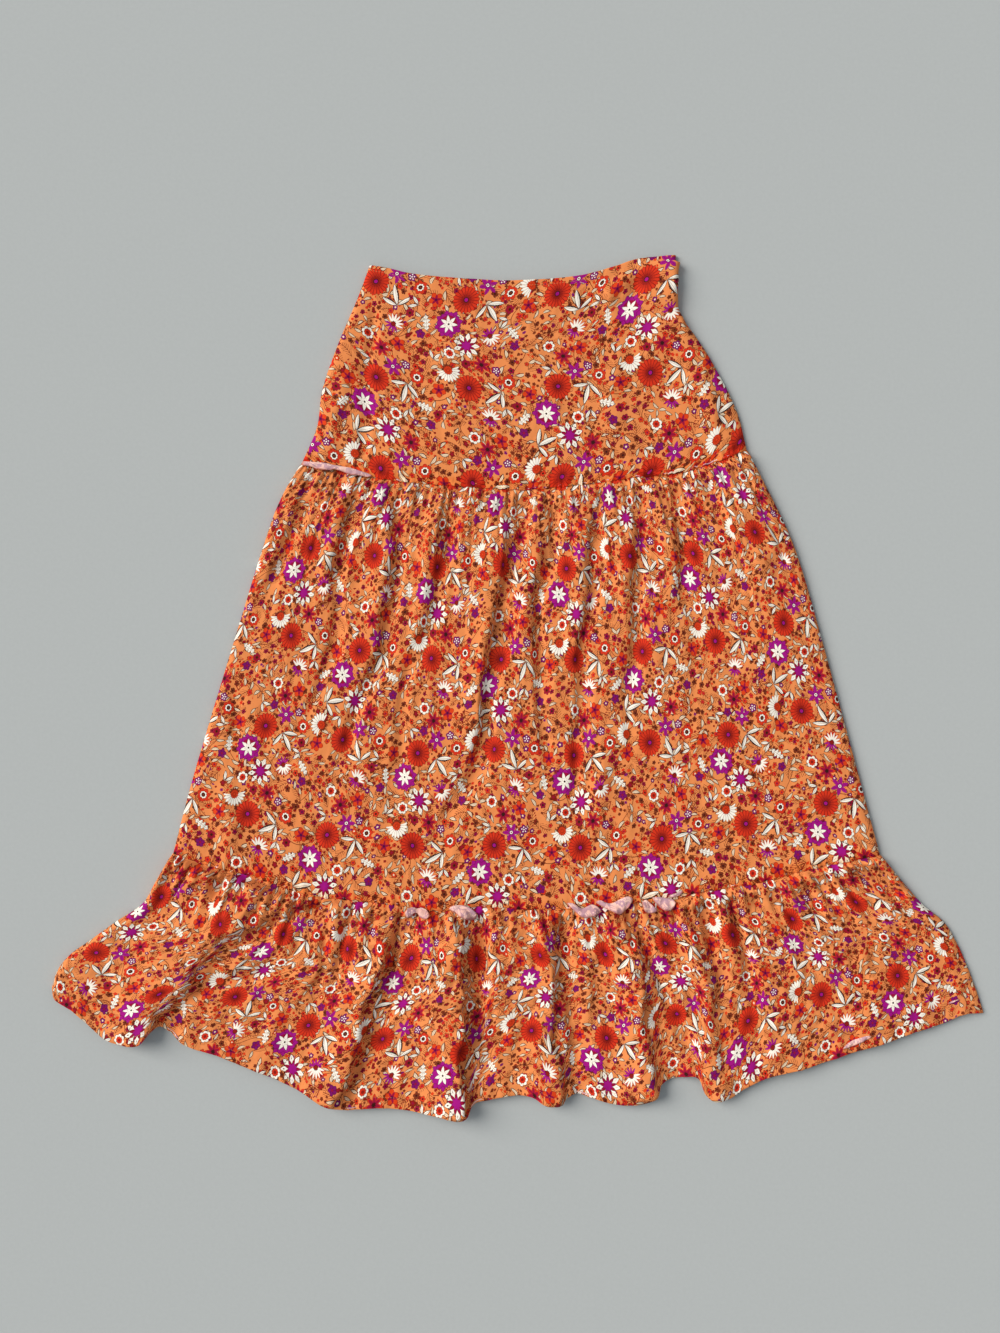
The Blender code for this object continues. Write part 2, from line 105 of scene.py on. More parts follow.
# Folds, each a soft ridge (rise above 0) or trough (below 0) along a smooth line. left and right
# are how far the fold reaches to either side; fade_in and fade_out are the shares of the line it
# takes to rise from nothing and to sink to nothing.
#   rise, left, right, fade_in, fade_out, the line's points x, y
YOKE_FOLDS = [
    (-3.5, 11, 11, 0.15, 0.05, [(-171, 455), (-168, 405), (-176, 364), (-177, 311), (-178, 262)]),
    (3.0, 18, 16, 0.20, 0.15, [(-200, 400), (-206, 350), (-214, 300), (-222, 262)]),
    (8.0, 60, 12, 0.03, 0.70, [(181, 496), (181, 452), (190, 405), (204, 375)]),
    (5.0, 28, 20, 0.25, 0.10, [(189, 416), (212, 358), (233, 300), (251, 262)]),
    (-4.0, 12, 10, 0.30, 0.40, [(150, 484), (133, 455), (114, 428)]),
    (3.5, 16, 12, 0.30, 0.45, [(128, 485), (113, 462), (94, 428)]),
    (1.6, 14, 12, 0.10, 0.60, [(37, 469), (44, 400)]),
    (1.8, 18, 16, 0.40, 0.20, [(31, 370), (61, 270)]),
    (1.6, 24, 20, 0.40, 0.40, [(-78, 440), (-70, 270)]),
    (1.8, 26, 20, 0.40, 0.30, [(108, 420), (118, 260)]),
]
TIER_FOLDS = [
    (-7, 13, 13, 0.05, 0.45, [(-184, 232), (-202, 166), (-213, 55), (-229, -3), (-254, -41), (-280, -70)]),
    (5, 26, 13, 0.10, 0.60, [(-200, 222), (-218, 160), (-229, 60)]),
    (-8, 13, 14, 0.04, 0.40, [(-136, 224), (-140, 160), (-143, 101), (-154, 49), (-173, 2), (-194, -50),
     (-212, -108), (-226, -136)]),
    (6, 24, 12, 0.10, 0.50, [(-152, 218), (-157, 140), (-170, 48), (-192, -10)]),
    (-5, 13, 14, 0.06, 0.35, [(-84, 220), (-83, 166), (-91, 113), (-111, 55), (-128, 8), (-136, -50),
     (-142, -120), (-160, -192)]),
    (5, 20, 14, 0.12, 0.50, [(-100, 216), (-101, 150), (-112, 90), (-136, 30)]),
    (-11, 13, 16, 0.03, 0.30, [(1, 238), (2, 195), (-6, 148), (-19, 101), (-24, 49), (-34, -3), (-40, -62),
     (-56, -114), (-82, -149), (-100, -192)]),
    (8, 30, 12, 0.12, 0.35, [(-17, 210), (-20, 160), (-34, 101), (-40, 49), (-50, -3), (-58, -70),
     (-78, -120)]),
    (-6, 12, 13, 0.06, 0.35, [(47, 218), (40, 160), (26, 107), (26, 43), (28, -15), (34, -73), (32, -134)]),
    (5, 17, 14, 0.20, 0.50, [(22, 200), (14, 120), (8, 43), (8, -30)]),
    (-7, 12, 13, 0.05, 0.45, [(92, 224), (92, 160), (86, 107), (77, 55), (75, -3), (71, -62), (65, -132),
     (54, -204)]),
    (6, 20, 12, 0.12, 0.45, [(76, 212), (76, 150), (66, 70), (58, 0)]),
    (-5, 12, 13, 0.06, 0.45, [(138, 224), (142, 166), (142, 101), (135, 37), (128, -15), (131, -62),
     (142, -122)]),
    (6, 22, 13, 0.15, 0.45, [(122, 212), (126, 150), (124, 80), (112, 10)]),
    (-4.5, 12, 14, 0.06, 0.50, [(181, 232), (190, 171), (196, 113), (206, 55), (210, -18)]),
    (4, 18, 14, 0.15, 0.50, [(168, 215), (176, 150), (184, 70)]),
    (6, 28, 34, 0.15, 0.40, [(253, 250), (265, 195), (285, 125), (305, 55), (329, -18)]),
    (-5, 12, 13, 0.10, 0.35, [(-239, 246), (-246, 206), (-266, 166), (-282, 131), (-292, 94)]),
    (5, 16, 12, 0.15, 0.40, [(-255, 225), (-266, 195), (-288, 150), (-300, 110)]),
    (-4, 12, 14, 0.30, 0.40, [(-333, 22), (-329, -27), (-326, -88)]),
    (-3, 14, 14, 0.40, 0.40, [(-222, -148), (-241, -186), (-258, -222)]),
    (5, 30, 24, 0.30, 0.30, [(-345, -95), (-336, -150), (-310, -200)]),
    (4, 22, 20, 0.40, 0.35, [(100, -40), (98, -110), (84, -180)]),
    (3, 34, 30, 0.40, 0.50, [(250, 120), (300, -60)]),
]
RUFFLE_FOLDS = [
    (-7, 8, 9, 0.15, 0.25, [(-390, -198), (-406, -222), (-422, -246)]),
    (14, 60, 24, 0.35, 0.04, [(-231, -237), (-277, -248), (-318, -266), (-353, -291), (-382, -318),
     (-406, -347), (-427, -377), (-444, -425)]),
    (-8, 12, 13, 0.10, 0.40, [(-215, -250), (-254, -262), (-292, -274), (-318, -295), (-353, -321)]),
    (-9, 20, 15, 0.35, 0.08, [(-250, -305), (-298, -332), (-342, -345), (-375, -353), (-398, -377),
     (-406, -412)]),
    (-5, 10, 10, 0.25, 0.40, [(-222, -270), (-224, -318), (-234, -368)]),
    (-4, 9, 9, 0.25, 0.45, [(-192, -262), (-208, -324), (-220, -380)]),
    (13, 48, 14, 0.20, 0.04, [(-152, -258), (-164, -307), (-180, -353), (-197, -412), (-220, -490)]),
    (-9, 12, 18, 0.04, 0.05, [(-133, -256), (-142, -301), (-153, -347), (-167, -400), (-182, -441),
     (-200, -490)]),
    (17, 58, 14, 0.15, 0.04, [(-74, -256), (-76, -318), (-77, -377), (-76, -435), (-74, -505)]),
    (-13, 13, 17, 0.03, 0.05, [(-50, -258), (-45, -307), (-49, -365), (-48, -423), (-50, -490)]),
    (7, 12, 26, 0.20, 0.40, [(-21, -262), (-22, -330), (-24, -400)]),
    (-4, 8, 9, 0.25, 0.35, [(8, -262), (22, -324), (28, -370)]),
    (11, 42, 14, 0.15, 0.04, [(33, -262), (30, -318), (33, -365), (35, -423), (42, -490)]),
    (-8, 12, 22, 0.06, 0.05, [(57, -254), (50, -295), (56, -347), (65, -400), (70, -480)]),
    (-5, 10, 10, 0.15, 0.40, [(88, -262), (96, -307), (91, -356)]),
    (10, 38, 16, 0.15, 0.04, [(112, -258), (126, -307), (136, -353), (142, -400), (148, -484)]),
    (-10, 12, 10, 0.05, 0.15, [(124, -250), (142, -283), (156, -318), (171, -353), (184, -388),
     (204, -438)]),
    (-6, 16, 20, 0.35, 0.05, [(158, -350), (171, -412), (180, -470)]),
    (7, 22, 15, 0.15, 0.04, [(196, -256), (212, -318), (219, -365), (226, -423), (234, -484)]),
    (-8, 10, 12, 0.06, 0.35, [(213, -250), (223, -295), (231, -330), (236, -370)]),
    (-7, 10, 12, 0.06, 0.40, [(243, -244), (257, -278), (266, -312), (269, -353), (274, -392)]),
    (5, 14, 12, 0.15, 0.45, [(233, -246), (244, -290), (250, -340)]),
    (-5, 9, 9, 0.10, 0.45, [(292, -228), (311, -257), (331, -290)]),
    (5, 24, 16, 0.20, 0.50, [(305, -228), (345, -275), (390, -322)]),
    (4, 40, 34, 0.35, 0.10, [(282, -300), (322, -470)]),
    (-6, 8, 9, 0.15, 0.15, [(380, -208), (410, -225), (452, -243)]),
    (4, 26, 18, 0.30, 0.45, [(385, -236), (478, -322)]),
    (3, 44, 40, 0.45, 0.10, [(400, -330), (440, -430)]),
]

# Short creases that cross the hip seam, then those of the ruffle's seam: rise, left, right and the
# line's points. All fade in and out alike.
CREASE_FADES = (0.3, 0.4)
SEAM_CREASES = [
    (2.8, 6, 5, [(118, 262), (136, 254), (156, 249), (178, 247), (196, 252)]),
    (-2.4, 4, 5, [(126, 252), (148, 244), (172, 240), (190, 241)]),
    (2.4, 5, 5, [(196, 242), (212, 252), (226, 256), (240, 262)]),
    (2.4, 5, 5, [(-10, 250), (4, 240), (10, 226)]),
    (2.2, 5, 5, [(64, 252), (58, 240), (60, 226)]),
    (2.6, 6, 5, [(-386, -231), (-372, -223), (-360, -217), (-345, -209), (-330, -203)]),
    (-2.4, 5, 5, [(-392, -214), (-376, -209), (-362, -202)]),
    (3.4, 6, 5, [(-352, -256), (-341, -242), (-332, -231), (-325, -218), (-320, -207)]),
    (-2.6, 4, 5, [(-340, -258), (-330, -243), (-321, -230), (-314, -216)]),
    (3.4, 6, 5, [(-330, -268), (-314, -252), (-304, -240), (-294, -227), (-288, -214)]),
    (-2.6, 4, 5, [(-312, -265), (-300, -250), (-290, -238), (-281, -224)]),
    (3.0, 6, 5, [(-296, -268), (-283, -253), (-273, -240), (-267, -226)]),
    (-2.2, 4, 5, [(-278, -266), (-268, -252), (-259, -238)]),
    (2.4, 6, 5, [(-262, -272), (-254, -258), (-249, -244), (-246, -230)]),
    (2.2, 5, 5, [(-212, -268), (-207, -254), (-205, -240)]),
    (2.2, 5, 5, [(-168, -272), (-167, -258), (-169, -243)]),
    (2.4, 5, 5, [(-26, -276), (-24, -262), (-25, -246)]),
    (2.2, 5, 5, [(12, -276), (16, -262), (15, -248)]),
    (2.6, 6, 5, [(198, -258), (206, -244), (209, -230)]),
    (2.4, 5, 5, [(236, -252), (247, -238), (251, -224)]),
    (2.6, 6, 5, [(300, -252), (288, -238), (276, -224)]),
    (2.6, 6, 5, [(348, -236), (334, -221), (322, -207)]),
    (-2.4, 4, 5, [(362, -238), (350, -224), (337, -210)]),
    (2.6, 6, 5, [(392, -226), (377, -213), (364, -200)]),
]

# Pale seam allowances that stick out of a seam and fold over it: the tiers above and below the
# seam, how far their middle stands up, the edge they come out at and their free rim
FLAPS = {
    "flap_hip": ("yoke", "tier", 1.5,
        [(-250, 262), (-237, 261), (-225, 260), (-216, 258), (-204, 256), (-193, 254), (-184, 251),
         (-175, 248), (-170, 246)],
        [(-251, 257), (-240, 255), (-231, 252), (-221, 250.5), (-212, 252), (-202, 249), (-193, 245.5),
         (-184, 245), (-175, 243.5), (-169, 244.5)]),
    "flap_1": ("tier", "ruffle", 2.2,
        [(-131, -260), (-127, -256), (-121, -255), (-117, -256.5), (-112, -255.5), (-107, -257.5),
         (-102.5, -262)],
        [(-131, -261), (-128, -266), (-124, -265), (-120, -261), (-116.5, -261), (-113, -265.5),
         (-108.5, -267), (-104, -265.5), (-102, -263)]),
    "flap_2": ("tier", "ruffle", 2.6,
        [(-80.5, -256.5), (-76, -253.5), (-67.5, -252.5), (-59.5, -254), (-52.5, -257.5), (-48, -262)],
        [(-80, -257.5), (-73.5, -260.5), (-66.5, -264.5), (-59.5, -268), (-53.5, -270), (-49, -267.5),
         (-47, -263.5)]),
    "flap_3": ("tier", "ruffle", 2.6,
        [(56, -250), (62, -250), (66.5, -252), (71, -255), (74.5, -256.5), (79.5, -254.5), (85, -252),
         (90.5, -253.5), (96, -258)],
        [(56.5, -251), (62, -256), (67.5, -261), (73.5, -265.5), (79.5, -266), (85, -265), (92, -262.5),
         (96.5, -259.5)]),
    "flap_4": ("tier", "ruffle", 3.0,
        [(90, -248.5), (95.5, -247), (101.5, -249.5), (107, -250.5), (112, -249), (116.5, -246.5),
         (122.5, -243.5), (128.5, -242.5), (133, -245)],
        [(90, -250), (94.5, -252.5), (101.5, -256), (108.5, -259), (114.5, -261.5), (118, -262.5),
         (122.5, -259.5), (127, -255.5), (130.5, -250.5), (133.5, -246.5)]),
    "flap_5": ("tier", "ruffle", 2.0,
        [(143.5, -249.5), (148, -246.5), (152.5, -249.5), (157, -253.5), (160.5, -257)],
        [(143.5, -252), (146, -258), (149.5, -260.5), (154, -260.5), (158, -259.5), (160.5, -258)]),
    "flap_6": ("tier", "ruffle", 2.6,
        [(155, -243.5), (161, -243), (167, -243.5), (172.5, -244.5), (178.5, -245.5), (182, -248.5)],
        [(155.5, -245), (159, -249.5), (163.5, -254), (168, -257), (173.5, -258), (178.5, -255.5),
         (182, -249.5)]),
}

# Slivers of the wrong side that show elsewhere: the panels they lie on, how far their middle
# stands up, their upper edge and their lower one
SLIVERS = {
    "seam_sliver": (("tier", "ruffle"), 0.8,
        [(173.5, -242), (179.5, -239.5), (185.5, -238), (190.5, -235.5)],
        [(174.5, -243.5), (180, -243.5), (186.5, -241.5), (191, -238)]),
    "hem_sliver_1": (("ruffle",), 1.0,
        [(375.5, -418), (384.8, -410.4), (394.1, -406.3), (403.4, -403.4), (408, -403.4)],
        [(376.6, -419.2), (387.1, -415.7), (396.4, -411.6), (404.6, -407), (408.7, -404.6)]),
    "hem_sliver_2": (("ruffle",), 0.5,
        [(499, -366.5), (505.5, -363.7), (512, -362)],
        [(499.3, -368), (506, -365.6), (512, -363.2)]),
}

# How the cloth lies, in millimetres
LIE = 3.3              # height of a front's outer face where it lies on the back
SLACK = 1.6            # how softly a trough settles on the back
LEAN = 1.2             # how far a steep ridge leans over its short side, per unit of its rise
MOST_TAKEN = 1.0       # cloth that a fold takes up, per unit of its climb
FOLD_WINDOW = 22.0     # half of the width over which a fold draws in cloth
# Each of the next three is a share, and the number of its waves in a decimetre
FOLD_WANDER = (0.3, 2.1)     # how far a fold strays to its sides, of its reach
FOLD_WIDENING = (0.3, 1.7)   # how much its width varies
FOLD_LOSS = (0.42, 2.7)      # how much of its depth it loses in places
FOLD_SEED = (0.037, 0.091)   # each fold's own seed, from where it starts and ends
FOLD_STATIONS = 60     # places along a fold's line that the cloth is measured from
FOLDS_BEGIN = 12.0     # how far below a top seam the folds take to rise
FOLDS_END = 24.0       # how far above a bottom seam they take to sink
SLUMP_WIDTH = 0.08     # share of a panel's width that slumps at its right side
BROAD_WRINKLES = (3.1, 34, 2.2)  # of a front: seed, width, and how much longer they are than wide
SMALL_WRINKLES = (7.7, 15, 1.5)
BACK_WRINKLES = (8.3, 30, 2.2)
WRINKLE_NOISE = (0.9, 2.1, 3)  # smoothness, how much finer each octave is, octaves
SEAM_HEIGHT = 7.2      # of the upper panel's face along a seam
SEAM_REACH = 10.0      # over which a panel comes down to its seam
SEAM_LEVEL = 1.5       # how far below a seam the lower panel stays at its height
SEAM_LAP = 1.0         # how far the upper panel's turned edge laps over the lower one
LAP_WAVES = [(0.9, 60, 5), (0.6, 210, 8)]  # how unevenly: size, waves along the seam, seed
LAP_REACH = 9.0        # how far above the seam the cloth leans with the lap
SEAM_PUCKER = 2.1      # height of the puckers that the gathering thread pulls in a seam
PUCKER_ROUND = 0.8     # below 1, they are round and the creases between them sharp
PUCKER_STRENGTH = (0.55, 0.45, 43, 8)  # how they vary: mean, size, waves along the seam, seed
PUCKER_DRIFT = [(0.9, 31, 7), (0.35, 97, 5)]  # how far they stray from even spacing
PUCKER_REACH = {"above": 12, "below": 15}     # how far they reach from the seam
SEAM_CRUMPLE = 1.7     # height of the crumples along a seam
CRUMPLE_REACH = {"above": 11, "below": 14}
CRUMPLE_SIZE = (6.5, 7.5)   # across and down
CRUMPLE_SEED = 6.1
CRUMPLE_NOISE = (0.8, 2.0, 2)  # smoothness, how much finer each octave is, octaves
CRUMPLE_END = 32.0     # no crumple lies further than this from a seam
TUCK = 4.0             # how far a gathered edge runs up under the panel above it
TUCK_DROP = 1.1        # how far it lies below that panel's face
ALLOWANCE = 8.0        # depth of the seam allowance pressed up behind a seam
ALLOWANCE_FADE = 2.0   # half of the width over which it fades
ALLOWANCE_WAVE = (1.5, 9)   # how unevenly it was cut: height and length of the waves
EDGE_LIFT = 0.12       # least height of an edge above the floor
BACK_TUCK = 6.0        # how far a back stays inside the rolled side of its front
BACK_REST = 0.25       # how far its wrinkles lift it off the floor
BACK_CREASE = 1.5      # height of the gathers pressed into a back
BACK_DRIFT = [(0.9, 18, 9)]  # how unevenly they are spaced: size, waves along the seam, seed
BACK_SWAY = (0.8, 3, 9, 4)   # how they sway: size, waves down and across, seed

CROWDING = 0.07        # share of a panel over which its rows crowd towards its ends

# Steps inwards from a panel's edge (negative outwards) and how far down they go
TURNED_UNDER = [(-0.3, 0.3), (-0.25, 0.8), (0.4, 1.1), (2.6, 1.1)]
SEWN_EDGE = [(-0.25, 0.25), (-0.2, 0.7), (0.5, 0.9), (2.2, 0.9)]
TUCKED_UP = [(-TUCK / 2, 0.0), (-TUCK, 0.0)]

# A tier's rolled side, from under it round to its top: how far in from the side, and what share
# of the height there. The rest of the roll follows a quarter circle.
SIDE_ROLL = [(3.2, 0.03), (1.8, 0.04), (0.8, 0.09), (0.2, 0.18), (0.0, 0.30)]
ROLL_STEPS = (0.5, 1.3, 2.4, 3.8, 5.6, 7.8)

# Gathers in four sizes that fade at four depths: how many to each gather of the seam, the share
# of its rise and the share of its reach
GATHER_LEVELS = [(1.9, 0.30, 0.34), (1.0, 0.66, 0.60), (0.52, 0.78, 1.15), (0.23, 0.55, 2.6)]
GATHER_ROUND = 0.62    # below 1, ridges are round and the creases between them sharp
GATHER_SINK = 0.6      # how far the cloth between them sinks, as a share of their rise
GATHER_DRIFT = (0.6, 22)     # how unevenly they are spaced: size, and waves along the seam
GATHER_SWAY = (0.16, 5, 30)  # how they sway on their way down: size, and turns down and across
GATHER_STRENGTH = (0.75, 0.55, 41)  # how they vary in rise: mean, size and waves along the seam
GATHER_DEPTH = (0.85, 0.5, 33)      # and in reach
BUNCHED = 0.16         # share of a seam over which its left end is bunched

# Seam allowances and slivers
FLAP_COLUMNS = 60      # stretches along an allowance, and down it
FLAP_ROWS = 14
FLAP_CUT = (31, 57)    # where the allowances were cut from the print
FLAP_LIFT = 0.5        # least height above the cloth it lies on
FLAP_FEEL = 4.0        # how far round a point the cloth under it holds it up
FLAP_SMOOTH = 7        # columns over which its height is evened out
FLAP_CURL = (0.15, 0.78, 0.8)  # how far its root stands up, where on a half wave it ends, roundness
FLAP_DENTS = [(0.4, 1.3, 3), (0.3, 2.9, 5)]  # depth, length, and how they shift towards the rim
FLAP_TURNS = [(0.5, 0.9), (0.8, 1.0)]  # its root's and its rim's turn: steps inwards and down
# An allowance's darker rim is partly the colour of its cut edge and partly painted shade where it turns under
RIM_WIDTH = (5, 1.8)   # how sharply its colour sets in towards the rim, and how far in from its ends
RIM_AT_ENDS = 0.9      # how much of it shows there
RIM_AT_ROOT = 0.5      # and on the turned edge of its root
FLAP_EASE = 1.1        # its cut length per unit of its laid one
FLAP_HELD = 3.0        # how much of its depth is held in the seam
LEAST_CUT = 10.0       # least side of a cut
EDGE_ROWS = 30         # rows of a panel beside a seam that an allowance may lie on

# Stitching
WAIST_STITCHING = 6.0  # how far below the waist edge its stitches run
HEM_STITCHING = 13.0   # how far above the hem its stitches run
STITCH_SIZE = (0.5, 0.34)  # width and height of a stitch
STITCH_END = 0.4       # from its middle to where its ends begin, as a share of its length
STITCH_RISE = 0.05     # of a row's middle above the cloth
STITCH_SINK = 0.16     # how far a stitch's ends go down into the cloth
SIDE_CLEAR = 9.0       # how far from a panel's sides its stitches start

# The print, in millimetres of cloth
LEAF_LINE = 0.58       # width of a leaf's outline
MIDRIB = 0.48
MIDRIB_END = 0.85      # share of a leaf's length
TOOTH = 1.7            # length of one tooth of its dark side
DARK_SIDE = 0.62       # how much of half a leaf is dark
LOBE_DEPTH = 0.28      # of a lobed leaf, as a share of its width
VINE_WIDTH = 0.84
TWIG_WIDTH = 0.68
STEM_WIDTH = 0.6
LEAFLET_LINE = 0.70    # width of a leaflet's outline
LEAFLET_VEIN = 0.44
FLOWER_LINE = 0.42
LEAFLET_LENGTH = (4.9, 1.0)  # half of the shortest one's, and how much more the longest has
LEAFLET_WIDTH = (1.75, 0.45)
FLOWER_RADIUS = (2.5, 1.5)
DOT_RADIUS = (1.25, 0.95)
MOTIF_ROOM = 0.3       # least clearance between two motifs
TRIES = 3000           # places tried for each motif
GROWTH_SPACING = 9.6   # between leaflets and small flowers
DOT_SPACING = 5.6
TWIG_SPACING = 15.0
LEAFLETS = 0.37        # share of the small growth that is leaflets
BARE_GROWTH = 0.91     # from this random value on, nothing grows
BARE_DOTS = 0.12       # up to this one, no dot
BARE_TWIGS = 0.2
THICK_GROWTH = 0.47    # how thickly growth stands where dots begin
CLUSTER_SCALE = 0.045
DYE_SCALE = 0.03
DYE_SHARE = 0.3        # how much of the deep ground shows

# Vines: whether along y, where they start, their waves in a repeat, the waves' height and phase
VINES = [(False, 22, 3, 11, 0.4), (False, 92, 2, 13, 2.1), (False, 158, 4, 8, 4.0),
         (True, 40, 3, 10, 1.2), (True, 118, 2, 14, 3.3), (True, 181, 4, 8, 5.1)]

# Finishes
DOUBLED_TINT = (1.0, 0.66, 0.30, 1.0)  # of the print over a seam allowance
DOUBLED_SHARE = 0.45   # how much of it shows
# the rim colour is partly the cut edge's own colour and partly painted shade
RIM_AND_SHADE_SHARE = 0.85       # how much of an allowance's rim colour shows
CRINKLE_SCALE = 110.0
CRINKLE_DEPTH = 0.0007
WEAVE_SHARE = 0.03     # height of the weave as a share of the crinkle's

# The stage, in metres
FLOOR_SIZE = 8.0
FLOOR_DROP = 0.0004    # how far the floor lies below the skirt
KEY_PLACE = (-1.68, 0.66, 1.33)  # where the large soft light comes from
KEY_ANGLE = math.radians(42)
KEY_COLOUR = (1.0, 0.97, 0.92)
SKY_COLOUR = (0.86, 0.94, 1.0, 1.0)
SENSOR = 36.0          # width of the camera's sensor
PICTURE = (1000, 1333)  # width and height of the picture
ORIGIN = (518, 687)    # pixel where the skirt's origin lies
PIXEL = 1.166 * MM     # size of a pixel on the floor


@dataclass
class Tier:
    """One tier of the skirt, as cut, gathered and laid."""
    name: str
    top: list
    bottom: list
    back_bottom: list
    left: list
    right: list
    folds: list
    columns: int            # stretches across its front
    rows: int               # stretches down its front
    roll: float             # how far in from a side the front takes to roll down
    loft: float             # how far the cloth stands off the back between its folds
    gathers: float          # ridges along its top seam
    gather_rise: float
    gather_reach: float
    cut_width: float
    cut_depth: float
    print_shift: tuple      # where its cloth was cut from the print
    unrest: float = 0.4     # height of the small wrinkles all over its front
    right_slump: float = 0  # share of its loft that it loses at its right side
    seam_rise: float = 1    # over which its front rises below its top seam
    top_puckers: int = 0    # puckers along its top seam
    bottom_puckers: int = 0
    back_reach: float = 60  # how far down its back the pressed gathers go
    left_bunching: float = 0  # how much more its gathers stand up towards its left end
    loose_top: bool = False
    loose_bottom: bool = False
    cut_area: float = 1.0   # share of the cut's rectangle that the panel has


TIERS = {
    "yoke": Tier("yoke", WAIST_EDGE, HIP_SEAM, HIP_SEAM, YOKE_LEFT, YOKE_RIGHT, YOKE_FOLDS,
                 columns=340, rows=100, roll=8, loft=4.2, gathers=0, gather_rise=0, gather_reach=1,
                 cut_width=519, cut_depth=240, print_shift=(37, 12), bottom_puckers=78, loose_top=True,
                 cut_area=0.843),
    "tier": Tier("tier", HIP_SEAM, RUFFLE_SEAM, RUFFLE_SEAM, TIER_LEFT, TIER_RIGHT, TIER_FOLDS,
                 columns=420, rows=106, roll=10, loft=5.5, gathers=40, gather_rise=6.6,
                 gather_reach=60, cut_width=880, cut_depth=484, print_shift=(121, 88), unrest=0.9,
                 seam_rise=10, top_puckers=78, bottom_puckers=98),
    "ruffle": Tier("ruffle", RUFFLE_SEAM, HEM_EDGE, BACK_HEM, RUFFLE_LEFT, RUFFLE_RIGHT,
                   RUFFLE_FOLDS, columns=470, rows=96, roll=12, loft=7.0, gathers=58,
                   gather_rise=9.6, gather_reach=46, left_bunching=0.5, cut_width=1290, cut_depth=233,
                   print_shift=(64, 151), unrest=1.9, right_slump=0.55, seam_rise=8, top_puckers=98,
                   back_reach=400, loose_bottom=True),
}


# ---------------------------------------------------------------- the cloth's form

def along_line(points):
    """How far along a line each of its points lies."""
    return np.concatenate([[0], np.cumsum(np.linalg.norm(np.diff(points, axis=0), axis=1))])


def smooth_line(points, shares):
    """Points at shares of the length of a smooth line through the given ones."""
    points = np.array(points, float)
    knots = np.concatenate([[0], np.cumsum(np.sqrt(np.linalg.norm(np.diff(points, axis=0), axis=1)))])
    slopes = np.gradient(points, knots, axis=0)
    fine = np.linspace(0, knots[-1], 40 * len(points))
    span = np.clip(np.searchsorted(knots, fine, side="right") - 1, 0, len(knots) - 2)
    step = (knots[span + 1] - knots[span])[:, None]
    u = (fine - knots[span])[:, None] / step
    line = ((2 * u**3 - 3 * u**2 + 1) * points[span] + (u**3 - 2 * u**2 + u) * step * slopes[span]
            + (3 * u**2 - 2 * u**3) * points[span + 1] + (u**3 - u**2) * step * slopes[span + 1])
    length = along_line(line)
    return np.stack([np.interp(np.array(shares) * length[-1], length, line[:, k]) for k in (0, 1)], axis=-1)


def plan(tier, bottom, across, down):
    """Plan positions over a four-sided panel: rows at shares down it, columns at shares across."""
    s, t = np.array(across)[None, :, None], np.array(down)[:, None, None]
    upper, lower = smooth_line(tier.top, across)[None], smooth_line(bottom, across)[None]
    west, east = smooth_line(tier.left, down)[:, None], smooth_line(tier.right, down)[:, None]
    corners = (1 - t) * ((1 - s) * west[:1] + s * east[:1]) + t * ((1 - s) * west[-1:] + s * east[-1:])
    return (1 - t) * upper + t * lower + (1 - s) * west + s * east - corners


def smooth_step(share):
    share = np.clip(share, 0, 1)
    return share * share * (3 - 2 * share)


def fade(distance, reach):
    """From 1 where the distance is 0 down towards 0."""
    return np.exp(-((distance / reach) ** 2))


def uneven(place, seed):
    """A smooth value from -1 to 1 that doesn't repeat along a line."""
    return (0.5 * np.sin(2.31 * place + 1.7 * seed) + 0.3 * np.sin(5.17 * place + 4.1 * seed)
            + 0.2 * np.sin(9.73 * place + 2.9 * seed))


def waves(share, parts):
    """Uneven waves along a seam, summed: the size of each, how many there are, and a seed."""
    return sum(size * uneven(number * share, seed) for size, number, seed in parts)


def varied(share, mean, size, number, seed):
    """A factor that varies unevenly about its mean in a number of waves."""
    return mean + size * uneven(number * share, seed)


def fold_form(fold, xy):
    """What one fold adds at plan positions: its height, and its lean over its short side."""
    rise, left, right, fade_in, fade_out, points = fold
    stations = np.linspace(0, 1, FOLD_STATIONS)
    line = smooth_line(points, stations)
    length = along_line(line)[-1]
    forwards = np.gradient(line, axis=0)
    forwards /= np.linalg.norm(forwards, axis=1)[:, None]
    height, lean = np.zeros(xy.shape[:2]), np.zeros_like(xy)
    reach = max(left, right)
    beside = ((xy > line.min(axis=0) - reach) & (xy < line.max(axis=0) + reach)).all(axis=2)
    place = xy[beside]
    nearest = np.argmin(((place[:, None] - line) ** 2).sum(axis=2), axis=1)
    offset, ahead = place - line[nearest], forwards[nearest]
    along = stations[nearest] + (offset * ahead).sum(axis=1) / length
    across = offset[:, 1] * ahead[:, 0] - offset[:, 0] * ahead[:, 1]

    # no fold runs quite true or keeps one width and depth
    run, own = along * length / 100, FOLD_SEED[0] * points[0][0] + FOLD_SEED[1] * points[-1][1]
    stray, number = FOLD_WANDER
    across = across + waves(run, [(stray * min(left, right), number, own)])
    across = across * varied(run, 1, *FOLD_WIDENING, own + 1)
    section = np.cos(np.clip(across / np.where(across < 0, left, right), -1, 1) * math.pi / 2) ** 2
    form = section * smooth_step(along / fade_in) * smooth_step((1 - along) / fade_out)
    loss, number = FOLD_LOSS
    form = form * (1 - loss * varied(run, 0.5, 0.5, number, own + 2))
    height[beside] = rise * form
    most = LEAN * max(rise, 0) * (left - right) / (left + right)
    lean[beside] = most * form[:, None] * np.stack([-ahead[:, 1], ahead[:, 0]], axis=1)
    return height, lean


